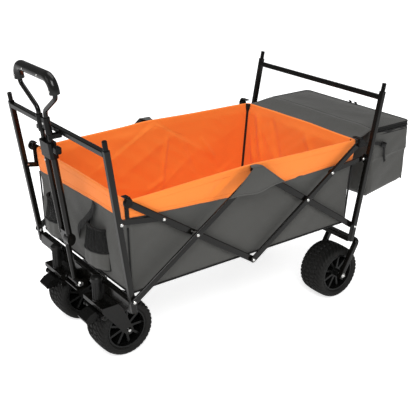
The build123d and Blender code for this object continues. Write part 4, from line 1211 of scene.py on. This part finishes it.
def bag_apron():
    """Cloth between the basket's rim and the bag."""
    low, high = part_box("storage_bag_apron")

    def place(c, r):
        y = low.y + (high.y - low.y) * c / (APRON_COLUMNS - 1)
        t = r / (APRON_ROWS - 1)
        x = low.x + 0.001 + (RIM_REAR - 0.0015 - low.x) * t
        across = y * (lid_hi.y + (SIDE - 0.004 - lid_hi.y) * t) / high.y
        start = lid_top(lid_hi.x, across) + 0.0006
        end = rim_height(Vector((RIM_REAR, across, RIM))) - 0.003
        sag = (0.003 * ripple(x * 14, y * 7, 0, 171) - 0.0025) * math.sin(math.pi * t)
        return Vector((x, across, start + (end - start) * t ** 1.5 + sag)), (x, y)

    verts, uvs = lay_grid(APRON_COLUMNS, APRON_ROWS, place)
    apron = cloth("bag_apron", verts, grid_faces(APRON_COLUMNS, APRON_ROWS), uvs, 0.0014)
    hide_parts("storage_bag_apron")


# ---------------------------------------------------------------- wheels
TREAD_BLOCKS = 36          # blocks round the tyre
TREAD_LEAN = 55.0          # blocks of slant for each metre across
TREAD_RINGS = (-0.021, -0.0005, 0.0205)
GROOVE = 0.0042
SHOULDER_CUT = 0.0026
SHOULDER_START = 0.074     # smallest radius that has shoulder cuts
BEAD_RADIUS = 0.0626
TYRE_STEPS = 360


def tread_depth(angle, across):
    """Groove depth at a place on the tread: three zigzag rings and slanting cross grooves."""
    depth = 0.0
    blocks = angle * TREAD_BLOCKS / math.tau
    for ring in TREAD_RINGS:
        zig = 0.003 * (abs(blocks % 1 - 0.5) * 4 - 1)
        depth = max(depth, 1 - step_smooth(abs(across - ring - zig), 0.0014, 0.0026))
    shift = 0.5 if abs(across) < 0.0105 else 0.0
    cross = (blocks + shift + across * TREAD_LEAN) % 1
    width = 0.13 if abs(across) < 0.03 else 0.19
    return max(depth, 1 - step_smooth(abs(cross - 0.5), width * 0.55, width))


def tyre_cut(angle, r, w, grooved):
    """How much is cut away at an angle, a radius and a place across."""
    if grooved:
        return GROOVE * tread_depth(angle, w)
    if r > SHOULDER_START:
        block = (angle * TREAD_BLOCKS / math.tau + (0.0 if w > 0 else 0.5) + abs(w) * TREAD_LEAN) % 1
        return SHOULDER_CUT * (1 - step_smooth(abs(block - 0.5), 0.1, 0.2))
    return 0.0


def tyres():
    """Tread, shoulders and sidewalls on each tyre."""
    low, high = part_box("rear_tyre_left")
    half = (high.y - low.y) / 2
    radius = (high.z - low.z) / 2
    flat = half - 0.0125
    tread = [(radius - 0.0002 - 0.0022 * abs(t) ** 2.2, t * flat, True) for t in spread(-1, 1, 47)]
    shoulder = []
    for i in range(1, 9):
        a = math.radians(90 * i / 8)
        shoulder.append((radius - 0.0032 - 0.011 * (1 - math.cos(a)), flat + 0.0122 * math.sin(a), False))
    for r, inset in ((0.0715, 0.0008), (0.0705, 0.0018), (0.069, 0.0008), (0.0655, 0.0022), (BEAD_RADIUS, 0.0065)):
        shoulder.append((r, half - inset, False))
    profile = [(r, -w, g) for r, w, g in reversed(shoulder)] + tread + shoulder

    def place(c, r):
        angle = math.tau * c / TYRE_STEPS
        reach, w, grooved = profile[r]
        reach -= tyre_cut(angle, reach, w, grooved)
        return Vector((reach * math.cos(angle), w, reach * math.sin(angle))), (angle * radius, w)

    verts, uvs = lay_grid(TYRE_STEPS, len(profile), place)
    faces = grid_faces(TYRE_STEPS, len(profile), closed=True)
    for where in ("rear", "front"):
        for word, _ in SIDES:
            name = f"{where}_tyre_{word}"
            a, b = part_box(name)
            placed = [v + (a + b) / 2 for v in verts]
            body = f"{where}_wheel_{word}"
            piece = new_piece(f"{name}_tread", placed, faces, body, [RUBBER], uvs=uvs)
            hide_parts(name)


# ---------------------------------------------------------------- small hardware
# rivets of the handle: name, body, then for each: along the handle, towards the front, across, radius, height
HANDLE_RIVETS = (
    ("upper_collar_rivet", "handle_upper", ((0.493, 0.0036, 0.0, 0.0042, 0.0018),)),
    ("grip_rivets", "handle_upper", ((0.607, 0.0142, -0.107, 0.0032, 0.0012), (0.607, 0.0142, 0.107, 0.0032, 0.0012),
                                     (0.638, 0.0142, -0.045, 0.0032, 0.0012), (0.638, 0.0142, 0.045, 0.0032, 0.0012))))


def handle_details():
    """Rivets and screws on the handle's collars and grip."""
    axis = Vector(joints["handle_slide"]["axis"])
    base = Vector(joints["handle_tilt"]["pos_m"])
    forward = Vector((0, 1, 0)).cross(axis).normalized()
    if forward.x < 0:
        forward = -forward
    tube_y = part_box("handle_inner_tubes")[1].y - 0.0065
    screw = ("outer_tube_screw", "handle_lower", ((0.383, 0.0086, -tube_y, 0.0034, 0.0016),))
    for name, body, heads in (screw,) + HANDLE_RIVETS:
        places = []
        for along, out, y, radius, height in heads:
            places.append((base + axis * along + forward * out + Vector((0, y, 0)), forward, radius, height))
        rivets(name, places, body)
    yoke = base + axis * 0.128 + Vector((0, -0.0072, 0))
    rivets("yoke_rivet", [(yoke, (0, -1, 0), 0.0042, 0.0018)], "handle_lower")


def caster_heads():
    """Bright axle heads on the caster forks."""
    for word, _ in SIDES:
        low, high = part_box(f"caster_fork_{word}")
        x, _, z = joints[f"front_wheel_{word}_spin"]["pos_m"]
        places = []
        for y, out in ((high.y - 0.0039, 1), (low.y + 0.0039, -1)):
            places.append(((x, y, z), (0, out, 0), 0.0066, 0.0046))
        rivets(f"caster_axle_heads_{word}", places, f"caster_{word}")


def corner_straps():
    """Black plastic tongues from the front corner hubs down the basket's corner."""
    low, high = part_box("front_corner_hubs")
    x = (low.x + high.x) / 2
    for word, side in SIDES:
        path = smooth_path([(x - 0.001, side * 0.2735, high.z - 0.012), (x - 0.002, side * 0.2738, 0.505),
                            (x - 0.003, side * 0.2735, 0.478)], 12)
        ribbon(f"corner_tongue_{word}", path, Vector((1, 0, 0)), 0.013, PLASTIC, 0.0012, "front_upper_tubes")


SEWN_TO_BASKET = ("basket_outside", "basket_lining", "basket_bottom", "basket_piping", "basket_binding",
                  "band_stitching", "rim_stitching", "pocket_", "front_webbing")


def crumple_on_fold():
    """Gives the basket and what is sewn to it a mesh of their own."""
    for piece in list(bpy.data.objects):
        if piece.name.startswith(SEWN_TO_BASKET):
            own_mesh(piece)


# ---------------------------------------------------------------- make everything
basket_outside()
basket_lining()
basket_trim()
flaps()
pockets()
front_strap()
bag_body()
bag_trim()
bag_lid()
bag_zip()
bag_apron()
tyres()
handle_details()
caster_heads()
corner_straps()
crumple_on_fold()
